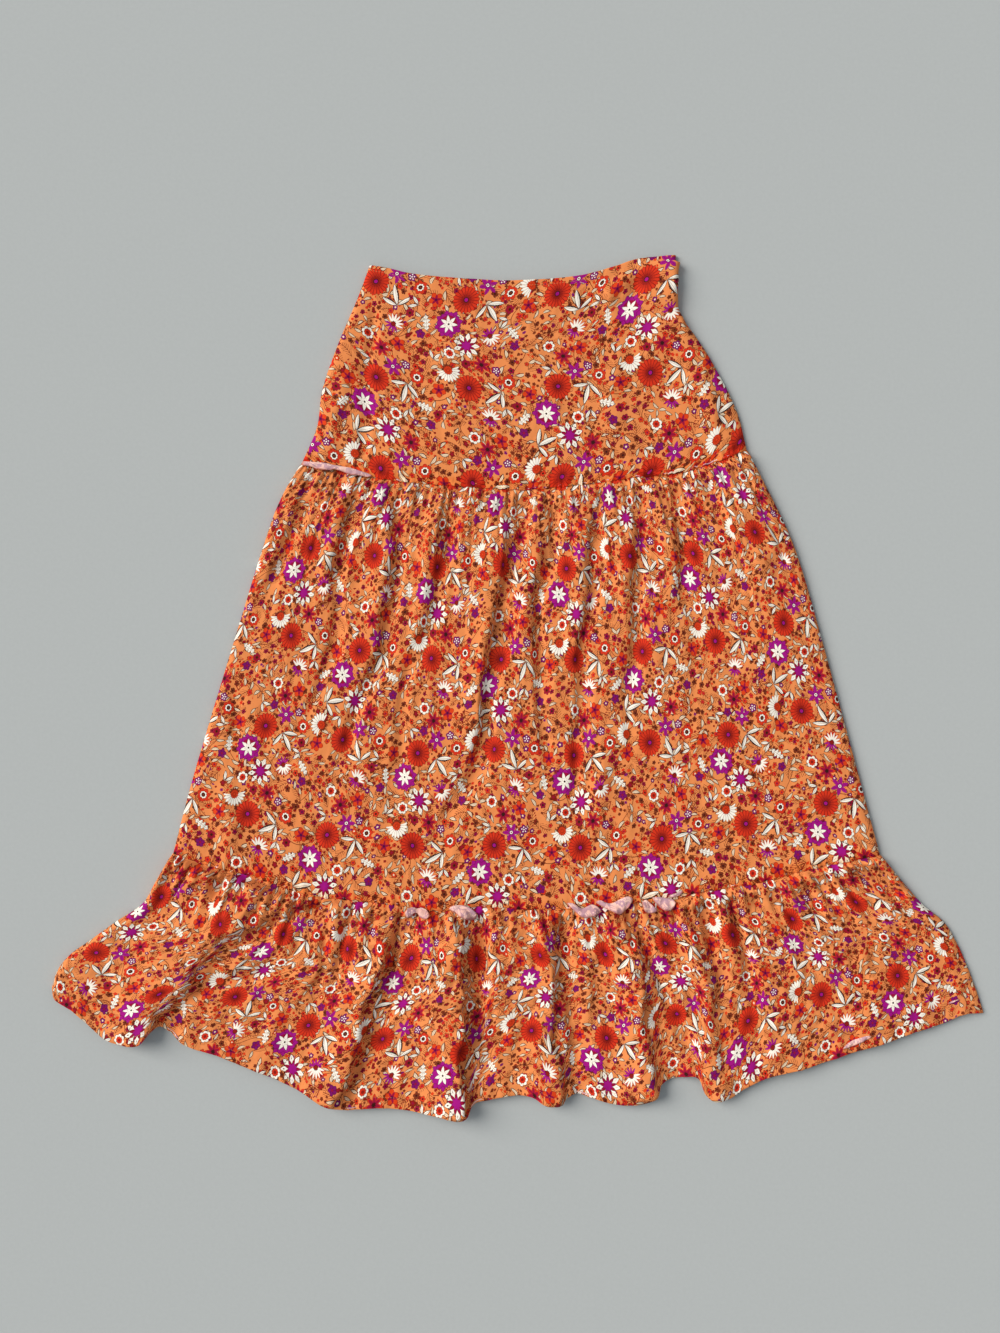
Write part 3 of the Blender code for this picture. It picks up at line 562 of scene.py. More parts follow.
def gather_height(tier, share, from_top, down):
    """Height of the gathers below a seam, at shares across it and depths below it."""
    height = np.zeros_like(from_top)
    sway, turns_down, turns_across = GATHER_SWAY
    for level, (number, rise, reach) in enumerate(GATHER_LEVELS):
        drift = waves(share, [(*GATHER_DRIFT, level)])
        drift = drift + sway * np.sin(turns_down * down + turns_across * share + 2 * level)
        ridge = np.abs(np.cos(math.pi * (number * tier.gathers * share + drift))) ** GATHER_ROUND
        strength = rise * tier.gather_rise * varied(share, *GATHER_STRENGTH, level + 3)
        depth = reach * tier.gather_reach * varied(share, *GATHER_DEPTH, level + 6)
        height += strength * ridge * fade(from_top, depth)
    height *= 1 + tier.left_bunching * fade(share, BUNCHED)
    return height - GATHER_SINK * tier.gather_rise * fade(from_top, tier.gather_reach)


def crumple(xy, from_seam):
    """Small crumples beside a seam, from about -1 to 1."""
    values = np.zeros(from_seam.shape)
    for place in zip(*np.nonzero(from_seam < CRUMPLE_END)):
        across, down = xy[place] / CRUMPLE_SIZE
        values[place] = noise.fractal(Vector((across, down, CRUMPLE_SEED)), *CRUMPLE_NOISE)
    return values


def seam_relief(xy, shares, from_seam, puckers, side):
    """Height of the uneven puckers and crumples along a seam, on the panel above or below it."""
    ridge = np.abs(np.cos(math.pi * (puckers * shares + waves(shares, PUCKER_DRIFT)))) ** PUCKER_ROUND
    pucker = SEAM_PUCKER * ridge * varied(shares, *PUCKER_STRENGTH)
    return (pucker * fade(from_seam, PUCKER_REACH[side])
            + SEAM_CRUMPLE * crumple(xy, from_seam) * fade(from_seam, CRUMPLE_REACH[side]))


def wrinkles(xy, seed, width, stretch):
    """Fine uneven creases, longer down the cloth than across it, from about -1 to 1."""
    places = xy.reshape(-1, 2) / (width, width * stretch)
    values = [noise.fractal(Vector((across, down, seed)), *WRINKLE_NOISE) for across, down in places]
    return np.array(values).reshape(xy.shape[:2])


def spaced(count, top_share, bottom_share):
    """Shares from 0 to 1, closer together near both ends by the given amounts."""
    fine = np.linspace(0, 1, 4000)
    density = 1 + top_share * np.exp(-fine / CROWDING) + bottom_share * np.exp(-(1 - fine) / CROWDING)
    total = np.concatenate([[0], np.cumsum((density[1:] + density[:-1]) / 2)])
    return np.interp(np.linspace(0, 1, count + 1), total / total[-1], fine)


def side_columns(tier):
    """Shares across a front, and how the roll at each side sets the height there."""
    foot = SIDE_ROLL[-1][1]

    def rolled(inset):
        return foot + (1 - foot) * np.sqrt(1 - (1 - np.clip(inset / tier.roll, 0, 1)) ** 2)

    width = (math.dist(tier.left[0], tier.right[0]) + math.dist(tier.left[-1], tier.right[-1])) / 2
    over = [inset for inset in ROLL_STEPS if inset < tier.roll]
    edge = np.array([inset for inset, _ in SIDE_ROLL] + over) / width
    edge_height = np.array([share for _, share in SIDE_ROLL] + [rolled(inset) for inset in over])
    inner = np.linspace(edge[-1], 1 - edge[-1], tier.columns - 2 * len(edge) + 3)[1:-1]
    inner_height = rolled(np.minimum(inner, 1 - inner) * width)
    return (np.concatenate([edge, inner, 1 - edge[::-1]]),
            np.concatenate([edge_height, inner_height, edge_height[::-1]]))


@cache
def front_form(name):
    """Outer face of a tier's front as a grid of points, rows from top to bottom, and each row's
    share down it."""
    tier = TIERS[name]
    across, rolled = side_columns(tier)
    down = spaced(tier.rows, 0.6 if tier.loose_top else 2.2, 0.8 if tier.loose_bottom else 1.2)
    xy = plan(tier, tier.bottom, across, down)
    from_top = np.linalg.norm(xy - xy[:1], axis=2)
    from_bottom = np.linalg.norm(xy - xy[-1:], axis=2)
    shares = np.broadcast_to(across, from_top.shape)
    depths = np.broadcast_to(down[:, None], from_top.shape)

    folds, lean = np.zeros_like(from_top), np.zeros_like(xy)
    for fold in tier.folds:
        rise, side = fold_form(fold, xy)
        folds += rise
        lean += side
    if not tier.loose_top:
        folds *= smooth_step(from_top / FOLDS_BEGIN)
    if not tier.loose_bottom:
        folds *= smooth_step(from_bottom / FOLDS_END)
    lift = tier.loft * (1 - tier.right_slump * fade(1 - shares, SLUMP_WIDTH)) + folds
    lift += wrinkles(xy, *BROAD_WRINKLES) + tier.unrest * wrinkles(xy, *SMALL_WRINKLES)
    if tier.gathers:
        lift += gather_height(tier, shares, from_top, depths)
    height = LIE + (lift + np.sqrt(lift**2 + SLACK**2)) / 2

    # both panels come to the seam's height, the lower one under the upper one's turned edge
    if not tier.loose_bottom:
        near = smooth_step(from_bottom / SEAM_REACH)
        height = height * near + SEAM_HEIGHT * (1 - near)
        height += seam_relief(xy, shares, from_bottom, tier.bottom_puckers, "above")
        lap = (SEAM_LAP + waves(shares, LAP_WAVES)) * fade(from_bottom, LAP_REACH) * np.minimum(2 * rolled, 1)
        lean += lap[..., None] * (xy[-1] - xy[-3]) / np.linalg.norm(xy[-1] - xy[-3], axis=1)[:, None]
    if not tier.loose_top:
        near = smooth_step((from_top - SEAM_LEVEL) / tier.seam_rise)
        height = height * near + (SEAM_HEIGHT - TUCK_DROP) * (1 - near)
        height += seam_relief(xy, shares, from_top, tier.top_puckers, "below")
    for *section, points in SEAM_CREASES:
        height += fold_form((*section, *CREASE_FADES, points), xy)[0]
    return np.dstack([xy + lean, height * rolled]), down


def edge_rows(surface, steps, first):
    """Rows that carry a front's first or last edge on, by steps inwards and down."""
    edge, inner = (surface[0], surface[1]) if first else (surface[-1], surface[-2])
    inwards = inner[:, :2] - edge[:, :2]
    inwards = inwards / np.linalg.norm(inwards, axis=1)[:, None]
    rows = []
    for step, drop in steps:
        row = edge.copy()
        row[:, :2] += step * inwards
        row[:, 2] = np.maximum(row[:, 2] - drop, EDGE_LIFT)
        rows.append(row)
    return np.array(rows[::-1] if first else rows)


def front_sheet(tier):
    """A front's whole sheet with its turned or tucked edges, and each row's share down it."""
    surface, down = front_form(tier.name)
    top = TURNED_UNDER if tier.loose_top else TUCKED_UP
    bottom = TURNED_UNDER if tier.loose_bottom else SEWN_EDGE
    step = 1 / tier.cut_depth
    shares = [-step * np.arange(len(top), 0, -1), down, 1 + step * np.arange(1, len(bottom) + 1)]
    rows = [edge_rows(surface, top, True), surface, edge_rows(surface, bottom, False)]
    return np.concatenate(rows), np.concatenate(shares)


def spread(values, columns):
    """Rows of values, each smoothed along the row over a number of columns."""
    reach = 3 * columns
    bell = np.exp(-0.5 * (np.arange(-reach, reach + 1) / columns) ** 2)
    padded = np.pad(values, ((0, 0), (reach, reach)), mode="reflect", reflect_type="odd")
    return np.array([np.convolve(row, bell / bell.sum(), "valid") for row in padded])


def cloth_across(surface, cut_width):
    """How far across the cut cloth each point lies. Cloth is spread evenly along a row, and the
    slopes of each fold take more of it than its crest does."""
    step = np.diff(surface, axis=1)
    flat = np.linalg.norm(step[..., :2], axis=2)
    climb = np.abs(step[..., 2])
    spare = np.maximum(cut_width - flat.sum(axis=1), 0)
    taken = np.minimum(spare / np.maximum(climb.sum(axis=1), 1), MOST_TAKEN)
    start = np.zeros((len(surface), 1))
    even = np.concatenate([start, np.cumsum(flat, axis=1)], axis=1)
    even *= (cut_width / even[:, -1])[:, None]
    folded = np.concatenate([start, np.cumsum(climb, axis=1)], axis=1) * taken[:, None]
    folded -= spread(folded, round(FOLD_WINDOW * len(step[0]) / flat.sum(axis=1).mean()))
    ends = smooth_step(np.minimum(even, cut_width[:, None] - even) / (2 * FOLD_WINDOW))
    return even + folded * ends - cut_width[:, None] / 2


def cloth_place(tier, surface, shares):
    """Each point's place in the print, in metres: across the cut cloth and down it."""
    width = np.full(len(surface), float(tier.cut_width))
    if tier.loose_top:
        width = np.linalg.norm(np.diff(surface[..., :2], axis=1), axis=2).sum(axis=1)
    across = cloth_across(surface, width)
    downwards = np.broadcast_to(-shares[:, None] * tier.cut_depth, across.shape)
    return (np.dstack([across, downwards]) + tier.print_shift) * MM


def back_sheet(tier):
    """Under face of a tier's back, flat on the floor but for the gathers pressed into it."""
    width = tier.right[0][0] - tier.left[0][0]
    across = np.linspace(BACK_TUCK / width, 1 - BACK_TUCK / width, round(tier.columns * 1.5))
    down = spaced(tier.rows // 2, 0.6 if tier.loose_top else 2.0, 0.6)
    xy = plan(tier, tier.back_bottom, across, down)
    height = BACK_REST * (1 + wrinkles(xy, *BACK_WRINKLES))
    if tier.gathers:
        sway, waves_down, waves_across, seed = BACK_SWAY
        drift = waves(across, BACK_DRIFT)
        drift = drift + sway * uneven(waves_down * down[:, None] + waves_across * across, seed)
        pressed = np.sin(2 * math.pi * (tier.gathers * across + drift)) ** 2
        height += BACK_CREASE * pressed * fade(np.linalg.norm(xy - xy[:1], axis=2), tier.back_reach)
    return np.dstack([xy, np.maximum(height, 0)]), down


def faces_under(fronts):
    """What a seam allowance lies on: a tree of the fronts' points, and their heights."""
    points = np.concatenate([front.reshape(-1, 3) for front in fronts])
    tree = KDTree(len(points))
    for number, (x, y, _) in enumerate(points):
        tree.insert((x, y, 0), number)
    tree.balance()
    return tree, points[:, 2]


def height_under(under, place):
    """How high the cloth holds up a row of an allowance, evened out along it."""
    tree, heights = under
    near = [tree.find_range((x, y, 0), FLAP_FEEL) or [tree.find((x, y, 0))] for x, y in place]
    lying = [max(heights[number] for _, number, _ in found) for found in near]
    lying = np.pad(lying, FLAP_SMOOTH // 2, mode="edge")
    return np.convolve(lying, np.ones(FLAP_SMOOTH) / FLAP_SMOOTH, "valid")


def flap_sheet(under, crown, root, rim):
    """Outer face of a seam allowance that folds over a seam, from the edge it comes out at to its
    free rim, with how near each point is to the rim, which sets how much of the darker rim colour
    it takes: partly the cut edge's own colour and partly painted shade."""
    along = np.linspace(0, 1, FLAP_COLUMNS + 1)
    upper, lower = smooth_line(root, along), smooth_line(rim, along)
    downwards = (lower - upper) / np.linalg.norm(lower - upper, axis=1)[:, None]
    bulge = np.sin(math.pi * along).clip(0) ** 0.5
    foot, end, roundness = FLAP_CURL
    down = np.linspace(0, 1, FLAP_ROWS + 1)
    rows = []
    for share in down:
        place = upper + (lower - upper) * share
        dents = sum(depth * np.sin(place[:, 0] / length + shift * share)
                    for depth, length, shift in FLAP_DENTS)
        stand = crown * bulge * (foot + math.sin(math.pi * end * share) ** roundness)
        rows.append(np.column_stack([place, height_under(under, place) + FLAP_LIFT + stand + dents * share]))
    (root_in, root_down), (rim_in, rim_down) = FLAP_TURNS
    flat = np.ones(len(along))
    first = rows[0] + np.column_stack([root_in * downwards, -root_down * flat])
    last = rows[-1] - np.column_stack([rim_in * downwards, rim_down * flat])
    from_end = np.minimum(along, 1 - along) * (root[-1][0] - root[0][0])
    # the rim colour, partly the edge's own and partly painted shade, is strongest at the free rim, at the
    # ends and on the root's turned edge
    rim_and_shade = down[:, None] ** RIM_WIDTH[0] + RIM_AT_ENDS * fade(from_end, RIM_WIDTH[1])
    rim_and_shade = np.concatenate([rim_and_shade[:1] + RIM_AT_ROOT, rim_and_shade, rim_and_shade[-1:]])
    return np.array([first, *rows, last]), rim_and_shade.clip(0, 1)


# ---------------------------------------------------------------- making pieces

def grid_mesh(name, points, place, attributes=None):
    """A mesh over a grid of points in millimetres, with its place in the print as its UV map."""
    rows, columns = points.shape[:2]
    corner = np.arange(rows * columns).reshape(rows, columns)
    faces = np.stack([corner[1:, :-1], corner[1:, 1:], corner[:-1, 1:], corner[:-1, :-1]], axis=-1)
    mesh = bpy.data.meshes.new(name)
    mesh.from_pydata((points.reshape(-1, 3) * MM).tolist(), [], faces.reshape(-1, 4).tolist())
    uv = mesh.uv_layers.new(name="cloth")
    loops = np.zeros(len(mesh.loops), int)
    mesh.loops.foreach_get("vertex_index", loops)
    uv.data.foreach_set("uv", place.reshape(-1, 2)[loops].astype(np.float32).ravel())
    for key, values in (attributes or {}).items():
        layer = mesh.attributes.new(key, "FLOAT", "POINT")
        layer.data.foreach_set("value", values.astype(np.float32).ravel())
    mesh.shade_smooth()
    return mesh


def cloth_piece(mesh, materials, replaces):
    """A thin shell of cloth with its wrong side inside, in place of a solid."""
    piece = bpy.data.objects.new(mesh.name, mesh)
    bpy.context.scene.collection.objects.link(piece)
    for material in materials:
        mesh.materials.append(material)
    shell = piece.modifiers.new("cloth thickness", "SOLIDIFY")
    shell.thickness = bpy.context.scene.skirt_cloth.thickness
    shell.offset = -1
    shell.material_offset = len(materials) - 1
    bpy.context.view_layer.objects.active = piece
    bpy.ops.object.modifier_apply(modifier=shell.name)
    for vertex in piece.data.vertices:
        vertex.co.z = max(vertex.co.z, 0.0)
    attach(piece, "root")
    if replaces:
        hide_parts(replaces)
    return piece


def guide_curve(name, path):
    """A curve through a path of points in millimetres, for stitches to follow."""
    curve = bpy.data.curves.new(name, "CURVE")
    curve.dimensions = "3D"
    curve.twist_mode = "Z_UP"
    spline = curve.splines.new("POLY")
    spline.points.add(len(path) - 1)
    spline.points.foreach_set("co", np.column_stack([path * MM, np.ones(len(path))]).ravel())
    guide = bpy.data.objects.new(name, curve)
    bpy.context.scene.collection.objects.link(guide)
    return guide


def stitch_row(name, path, thread, settings):
    """A row of stitches that follows a path of points in millimetres."""
    guide = guide_curve(name + "_path", path)
    bpy.ops.mesh.primitive_uv_sphere_add(segments=8, ring_count=5, rotation=(0, math.pi / 2, 0))
    stitches = bpy.context.object
    stitches.name = name
    width, height = STITCH_SIZE
    stitches.scale = (height * MM / 2, width * MM / 2, settings.stitch_length / 2)
    bpy.ops.object.transform_apply(rotation=True, scale=True)
    for part in (stitches.data.polygons, stitches.data.edges, stitches.data.vertices):
        part.foreach_set("select", [False] * len(part))
    for vertex in stitches.data.vertices:
        vertex.select = abs(vertex.co.x) > STITCH_END * settings.stitch_length
    bpy.ops.object.mode_set(mode="EDIT")
    bpy.ops.transform.translate(value=(0, 0, -STITCH_SINK * MM))
    bpy.ops.object.mode_set(mode="OBJECT")
    stitches.data.materials.append(thread)

    row = stitches.modifiers.new("row", "ARRAY")
    row.use_relative_offset = False
    row.use_constant_offset = True
    row.constant_offset_displace = (settings.stitch_spacing, 0, 0)
    row.fit_type = "FIT_CURVE"
    row.curve = guide
    follow = stitches.modifiers.new("along the cloth", "CURVE")
    follow.object = guide
    for modifier in (row, follow):
        bpy.ops.object.modifier_apply(modifier=modifier.name)
    bpy.ops.object.shade_smooth()
    bpy.data.objects.remove(guide)
    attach(stitches, "root")


def line_along(surface, inset, last):
    """A line across a panel at a distance from its first or last row, clear of its sides."""
    grid = surface[::-1] if last else surface
    run = along_line(grid[0])[1:]
    inner = np.nonzero((run > SIDE_CLEAR) & (run < run[-1] - SIDE_CLEAR))[0]
    path = []
    for column in inner:
        down = along_line(grid[:, column])
        path.append([np.interp(inset, down, grid[:, column, k]) for k in range(3)])
    return np.array(path) + (0, 0, STITCH_RISE)


# ---------------------------------------------------------------- shader values

class Wire:
    """One value of a shader: arithmetic on it adds Math nodes."""

    def __init__(self, pen, socket):
        self.pen = pen
        self.socket = socket

    def other(self, name):
        """Another output of the same node."""
        return Wire(self.pen, self.socket.node.outputs[name])

    def __add__(self, other):
        return self.pen.math("ADD", self, other)

    def __radd__(self, other):
        return self.pen.math("ADD", other, self)

    def __sub__(self, other):
        return self.pen.math("SUBTRACT", self, other)

    def __rsub__(self, other):
        return self.pen.math("SUBTRACT", other, self)

    def __mul__(self, other):
        return self.pen.math("MULTIPLY", self, other)

    def __rmul__(self, other):
        return self.pen.math("MULTIPLY", other, self)

    def __truediv__(self, other):
        return self.pen.math("DIVIDE", self, other)

    def __pow__(self, other):
        return self.pen.math("POWER", self, other)

    def __lt__(self, other):
        return self.pen.math("LESS_THAN", self, other)

    def __gt__(self, other):
        return self.pen.math("GREATER_THAN", self, other)

    def __abs__(self):
        return self.pen.math("ABSOLUTE", self)


class Pen:
    """Draws in one node tree: every node comes from its node method."""

    def __init__(self, tree, inks=None):
        self.tree = tree
        self.inks = inks or {}

    def node(self, kind, settings=None, inputs=(), output=0):
        """Adds a node with its settings and the values or wires of its sockets."""
        made = self.tree.nodes.new(kind)
        for name, value in (settings or {}).items():
            setattr(made, name, value)
        for key, value in inputs.items() if isinstance(inputs, dict) else enumerate(inputs):
            if isinstance(value, Wire):
                self.tree.links.new(value.socket, made.inputs[key])
            else:
                made.inputs[key].default_value = value
        return Wire(self, made.outputs[output]) if output is not None else None

    def math(self, operation, *values):
        return self.node("ShaderNodeMath", {"operation": operation}, values)

    def vector(self, operation, *values, output=0):
        return self.node("ShaderNodeVectorMath", {"operation": operation}, values, output)

    def split(self, vector):
        """A vector's x and y."""
        x = self.node("ShaderNodeSeparateXYZ", None, (vector,))
        return x, x.other("Y")

    def joined(self, x, y):
        """A flat vector."""
        return self.node("ShaderNodeCombineXYZ", None, (x, y))

    def noise(self, place, scale, **inputs):
        """Soft noise over the cloth, from 0 to 1."""
        return self.node("ShaderNodeTexNoise", {"noise_dimensions": "2D"},
                         {"Vector": place, "Scale": scale, **inputs})

    def colour(self, ink):
        """A colour by its name among the inks, or as it is."""
        return (*self.inks[ink], 1.0) if isinstance(ink, str) else ink

    def paint(self, below, where, ink, blend="MIX"):
        """An ink laid over what is below, where a mask is 1."""
        return self.node("ShaderNodeMix", {"data_type": "RGBA", "blend_type": blend},
                         {0: where, 6: self.colour(below), 7: self.colour(ink)}, 2)

    def off_centre(self, spot, count, turn=0.0):
        """How far round a spot lies from the nearest of a ring of lines: 0 on one, 0.5 between."""
        return self.math("PINGPONG", (spot.turn + turn) * count if turn else spot.turn * count, 0.5)

    def petals(self, below, spot, count, tip, notch, roundness, ink, line="outline", width=0.6, turn=0.0):
        """A ring of petals with a drawn edge, from their notches out to their tips."""
        tip, notch = tip * spot.size, notch * spot.size
        edge = tip - (tip - notch) * 2**roundness * self.off_centre(spot, count, turn) ** roundness
        drawn = self.paint(below, spot.radius < edge, line)
        return self.paint(drawn, spot.radius < edge - width, ink)

    def rays(self, below, spot, count, inner, outer, width, ink, turn=0.0):
        """Thin lines out from the middle."""
        off_line = self.off_centre(spot, count, turn) * spot.radius * (2 * math.pi / count)
        where = (off_line < width / 2) * (spot.radius > inner * spot.size) * (spot.radius < outer * spot.size)
        return self.paint(below, where, ink)

    def disc(self, below, spot, radius, ink):
        return self.paint(below, spot.radius < radius * spot.size, ink)

    def dots(self, spot, count, ring, radius_squared):
        """Where a ring of dots lies."""
        off_dot = self.off_centre(spot, count) * spot.radius * (2 * math.pi / count)
        off_ring = spot.radius - ring * spot.size
        return off_dot * off_dot + off_ring * off_ring < radius_squared

    def leaf(self, below, place, base, degrees, length, width, ink="cream", lobes=0, shade=False):
        """A pointed leaf from its base, with a drawn edge and midrib, and a hatched dark side."""
        def along(axis):
            from_base = base[0] * axis[0] + base[1] * axis[1]
            return self.vector("DOT_PRODUCT", place, axis, output=1) - from_base

        run = (math.cos(math.radians(degrees)), math.sin(math.radians(degrees)), 0.0)
        share, side = along(run) / length, along((-run[1], run[0], 0.0))
        half = 2 * width * share * (1 - share)
        if lobes:
            half = half * (1 - LOBE_DEPTH + LOBE_DEPTH * self.math("COSINE", share * (2 * math.pi * lobes)))
        away = abs(side)
        drawn = self.paint(below, away < half, "outline")
        drawn = self.paint(drawn, away < half - LEAF_LINE, ink)
        midrib = (away < MIDRIB / 2) * (share > 0) * (share < MIDRIB_END) * (half > 0)
        drawn = self.paint(drawn, midrib, "shade")
        if shade:
            tooth = self.math("PINGPONG", share * (length / TOOTH), 0.5)
            toothed = (side < (tooth * 1.1 - 1.0) * half * DARK_SIDE) * (half > away)
            drawn = self.paint(drawn, toothed, "outline")
        return drawn


# ---------------------------------------------------------------- the floral print

@dataclass
class Spot:
    """Where a point of the cloth lies in the motif that holds it."""
    radius: Wire           # millimetres from the motif's middle
    turn: Wire             # whole turns round it
    x: Wire                # across and up in the motif's own axes, in millimetres
    y: Wire
    size: float = 1.0      # of the motif


def layered(*layers):
    """A flower of layers over each other. Each is a Pen's method and its values: petals with
    their count, tip, notch, roundness, ink, line, line's width and turn; rays with their count,
    inner and outer end, width, ink and turn; a disc with its radius and ink. Radii are shares
    of the flower's size."""
    def draw(pen, below, spot):
        for method, *values in layers:
            below = getattr(pen, method)(below, spot, *values)
        return below
    return draw


draw_daisy = layered(
    ("petals", 20, 1, 0.84, 1.6, "red", "deep_red"),
    ("rays", 20, 0.2, 0.92, 0.85, "deep_red", 1 / 40),
    ("rays", 20, 0.2, 0.62, 0.5, "deep_red"),
    ("petals", 12, 0.44, 0.26, 1.2, "deep_red", "deep_red"),
    ("disc", 0.20, "outline"),
    ("disc", 0.135, "magenta"))

draw_crimson_star = layered(
    ("petals", 7, 1, 0.42, 1.2, "red", "deep_red", 0.5),
    ("petals", 7, 0.76, 0.30, 1.1, "crimson", "crimson"),
    ("petals", 7, 0.26, 0.15, 1.0, "outline", "outline"))

draw_purple_star = layered(
    ("petals", 6, 1, 0.34, 1.1, "magenta", "deep_purple", 0.5),
    ("rays", 6, 0.2, 0.72, 0.45, "purple"),
    ("disc", 0.22, "deep_purple"),
    ("disc", 0.16, "cream"),
    ("disc", 0.08, "crimson"))

draw_small_flower = layered(
    ("petals", 5, 1, 0.60, 1.8, "orange_red", "deep_red", 0.5),
    ("petals", 5, 0.72, 0.24, 0.9, "crimson", "crimson", 0.6, 0.1),
    ("disc", 0.17, "deep_purple"))

draw_ring_flower = layered(
    ("petals", 7, 1, 0.76, 2, "red", "deep_red", 0.5),
    ("petals", 8, 0.56, 0.44, 2, "cream", "outline", 0.4),
    ("disc", 0.30, "outline"),
    ("disc", 0.14, "brown"))

draw_white_ring = layered(
    ("petals", 7, 1, 0.76, 2.4, "cream", "outline", 0.5),
    ("petals", 9, 0.60, 0.50, 2, "red", "outline", 0.4),
    ("disc", 0.24, "deep_red"))

draw_purple_bud = layered(
    ("petals", 5, 1, 0.66, 1.8, "purple", "deep_purple", 0.5),
    ("rays", 5, 0.2, 0.8, 0.5, "deep_purple", 0.1),
    ("disc", 0.24, "crimson"))

draw_crimson_bud = layered(
    ("petals", 6, 1, 0.72, 2, "crimson", "deep_red", 0.4),
    ("petals", 6, 0.60, 0.36, 1.2, "deep_red", "deep_red", 0.6, 1 / 12),
    ("disc", 0.26, "outline"))

white_blossom = layered(
    ("petals", 9, 1, 0.56, 1.2, "cream"),
    ("rays", 9, 0.6, 0.84, 0.35, "shade"),
    ("petals", 9, 0.70, 0.34, 1.1, "crimson", "outline", 0.6, 1 / 18),
    ("petals", 7, 0.40, 0.26, 1.2, "magenta", "purple", 0.4))

magenta_petals = layered(
    ("petals", 8, 1, 0.68, 1.0, "magenta", "deep_purple", 0.5),
    ("petals", 8, 0.86, 0.64, 1.2, "magenta", "deep_purple", 0.5, 1 / 16))
magenta_heart = layered(
    ("petals", 7, 0.66, 0.28, 0.9, "cream"),
    ("petals", 5, 0.30, 0.15, 1.0, "cream", "shade", 0.4, 0.07),
    ("disc", 0.07, "outline"))

dotted_petals = layered(("petals", 5, 1, 0.74, 2, "purple", "deep_purple", 0.4))

half_daisy_petals = layered(
    ("petals", 19, 1, 0.74, 1.5, "cream"),
    ("rays", 19, 0.36, 0.80, 0.45, "shade", 1 / 38))
half_daisy_curls = layered(("petals", 15, 0.54, 0.40, 2, "brown", "outline", 0.4))
half_daisy_heart = layered(
    ("petals", 12, 0.38, 0.32, 1.5, "orange_red", "deep_red", 0.5),
    ("rays", 12, 0.08, 0.3, 0.5, "deep_red"))

lotus_petals = layered(
    ("petals", 15, 1, 0.50, 1.1, "red", "deep_red", 0.4),
    ("petals", 15, 0.84, 0.38, 1.2, "cream", "shade", 0.45))
lotus_stamens = layered(("petals", 12, 0.72, 0.30, 1.2, "magenta", "deep_purple", 0.5))
lotus_heart = layered(("petals", 9, 0.24, 0.18, 1.2, "deep_red", "outline"))


def draw_white_blossom(pen, below, spot):
    stamens = pen.dots(spot, 22, 0.70, 0.6) * (spot.x > 0.1 * spot.size)
    return pen.paint(white_blossom(pen, below, spot), stamens, "outline")


def draw_magenta_blossom(pen, below, spot):
    lower_half = (spot.radius < 0.60 * spot.size) * (spot.y < -0.1 * spot.size)
    drawn = pen.paint(magenta_petals(pen, below, spot), lower_half, "crimson")
    return magenta_heart(pen, drawn, spot)


def draw_dotted_flower(pen, below, spot):
    drawn = pen.paint(dotted_petals(pen, below, spot), pen.dots(spot, 5, 0.50, 0.62), "cream")
    return pen.disc(drawn, spot, 0.16, "cream")


def half_and_half(front, front_reach, back, back_start, heart):
    """A flower seen from its side: one drawing fans out to the front and another to the back."""
    def draw(pen, below, spot):
        turned = abs(spot.turn)
        drawn = pen.paint(below, turned < front_reach, front(pen, below, spot))
        drawn = pen.paint(drawn, turned > back_start, back(pen, below, spot))
        return heart(pen, drawn, spot)
    return draw


draw_half_daisy = half_and_half(half_daisy_petals, 0.27, half_daisy_curls, 0.29, half_daisy_heart)
draw_lotus = half_and_half(lotus_petals, 0.24, lotus_stamens, 0.30, lotus_heart)


def draw_leaf_trio(pen, below, spot):
    size, place = spot.size, pen.joined(spot.x, spot.y)
    base = (-0.42 * size, 0.30 * size)
    for degrees, length, width in [(-34, 1.50, 0.42), (22, 1.22, 0.36), (-104, 1.20, 0.34)]:
        below = pen.leaf(below, place, base, degrees, length * size, width * size, shade=True)
    return below


def draw_lobed_leaf(pen, below, spot):
    size, off_axis = spot.size, abs(spot.y)
    drawn = pen.leaf(below, pen.joined(spot.x, spot.y), (-size, 0), 0, 2 * size, 0.95 * size, lobes=5)
    vein = pen.math("PINGPONG", (spot.x - off_axis * 0.9) / (0.4 * size), 0.5) < 0.07
    return pen.paint(drawn, vein * (off_axis < 0.22 * size) * (abs(spot.x) < 0.7 * size), "shade")


def draw_leaf_pair(pen, below, spot):
    size, off_axis = spot.size, abs(spot.y)
    stem = (off_axis < 0.32) * (spot.x < 0) * (spot.radius < size)
    drawn = pen.paint(below, stem, "brown")
    base = (-0.66 * size, 0.02 * size)
    return pen.leaf(drawn, pen.joined(spot.x, off_axis), base, 31, 1.55 * size, 0.52 * size)


def draw_sprig(pen, below, spot):
    size = spot.size
    out = abs(spot.y - spot.x * spot.x * (0.22 / size) + 0.1 * size)
    inside = (1 - (spot.radius / size) ** 2.0) * 0.62 * size
    twig = pen.math("PINGPONG", (spot.x - out * 1.15) / 3.6, 0.5)
    where = pen.math("MAXIMUM", out < 0.3, (twig < 0.085) * (out < inside))
    drawn = pen.paint(below, where * (spot.radius < size), "brown")
    bead, tip = twig * 3.6, out - inside * 0.92
    buds = (bead * bead + tip * tip * 0.5 < 1.1) * (spot.radius < 0.94 * size)
    return pen.paint(drawn, buds, "deep_red")


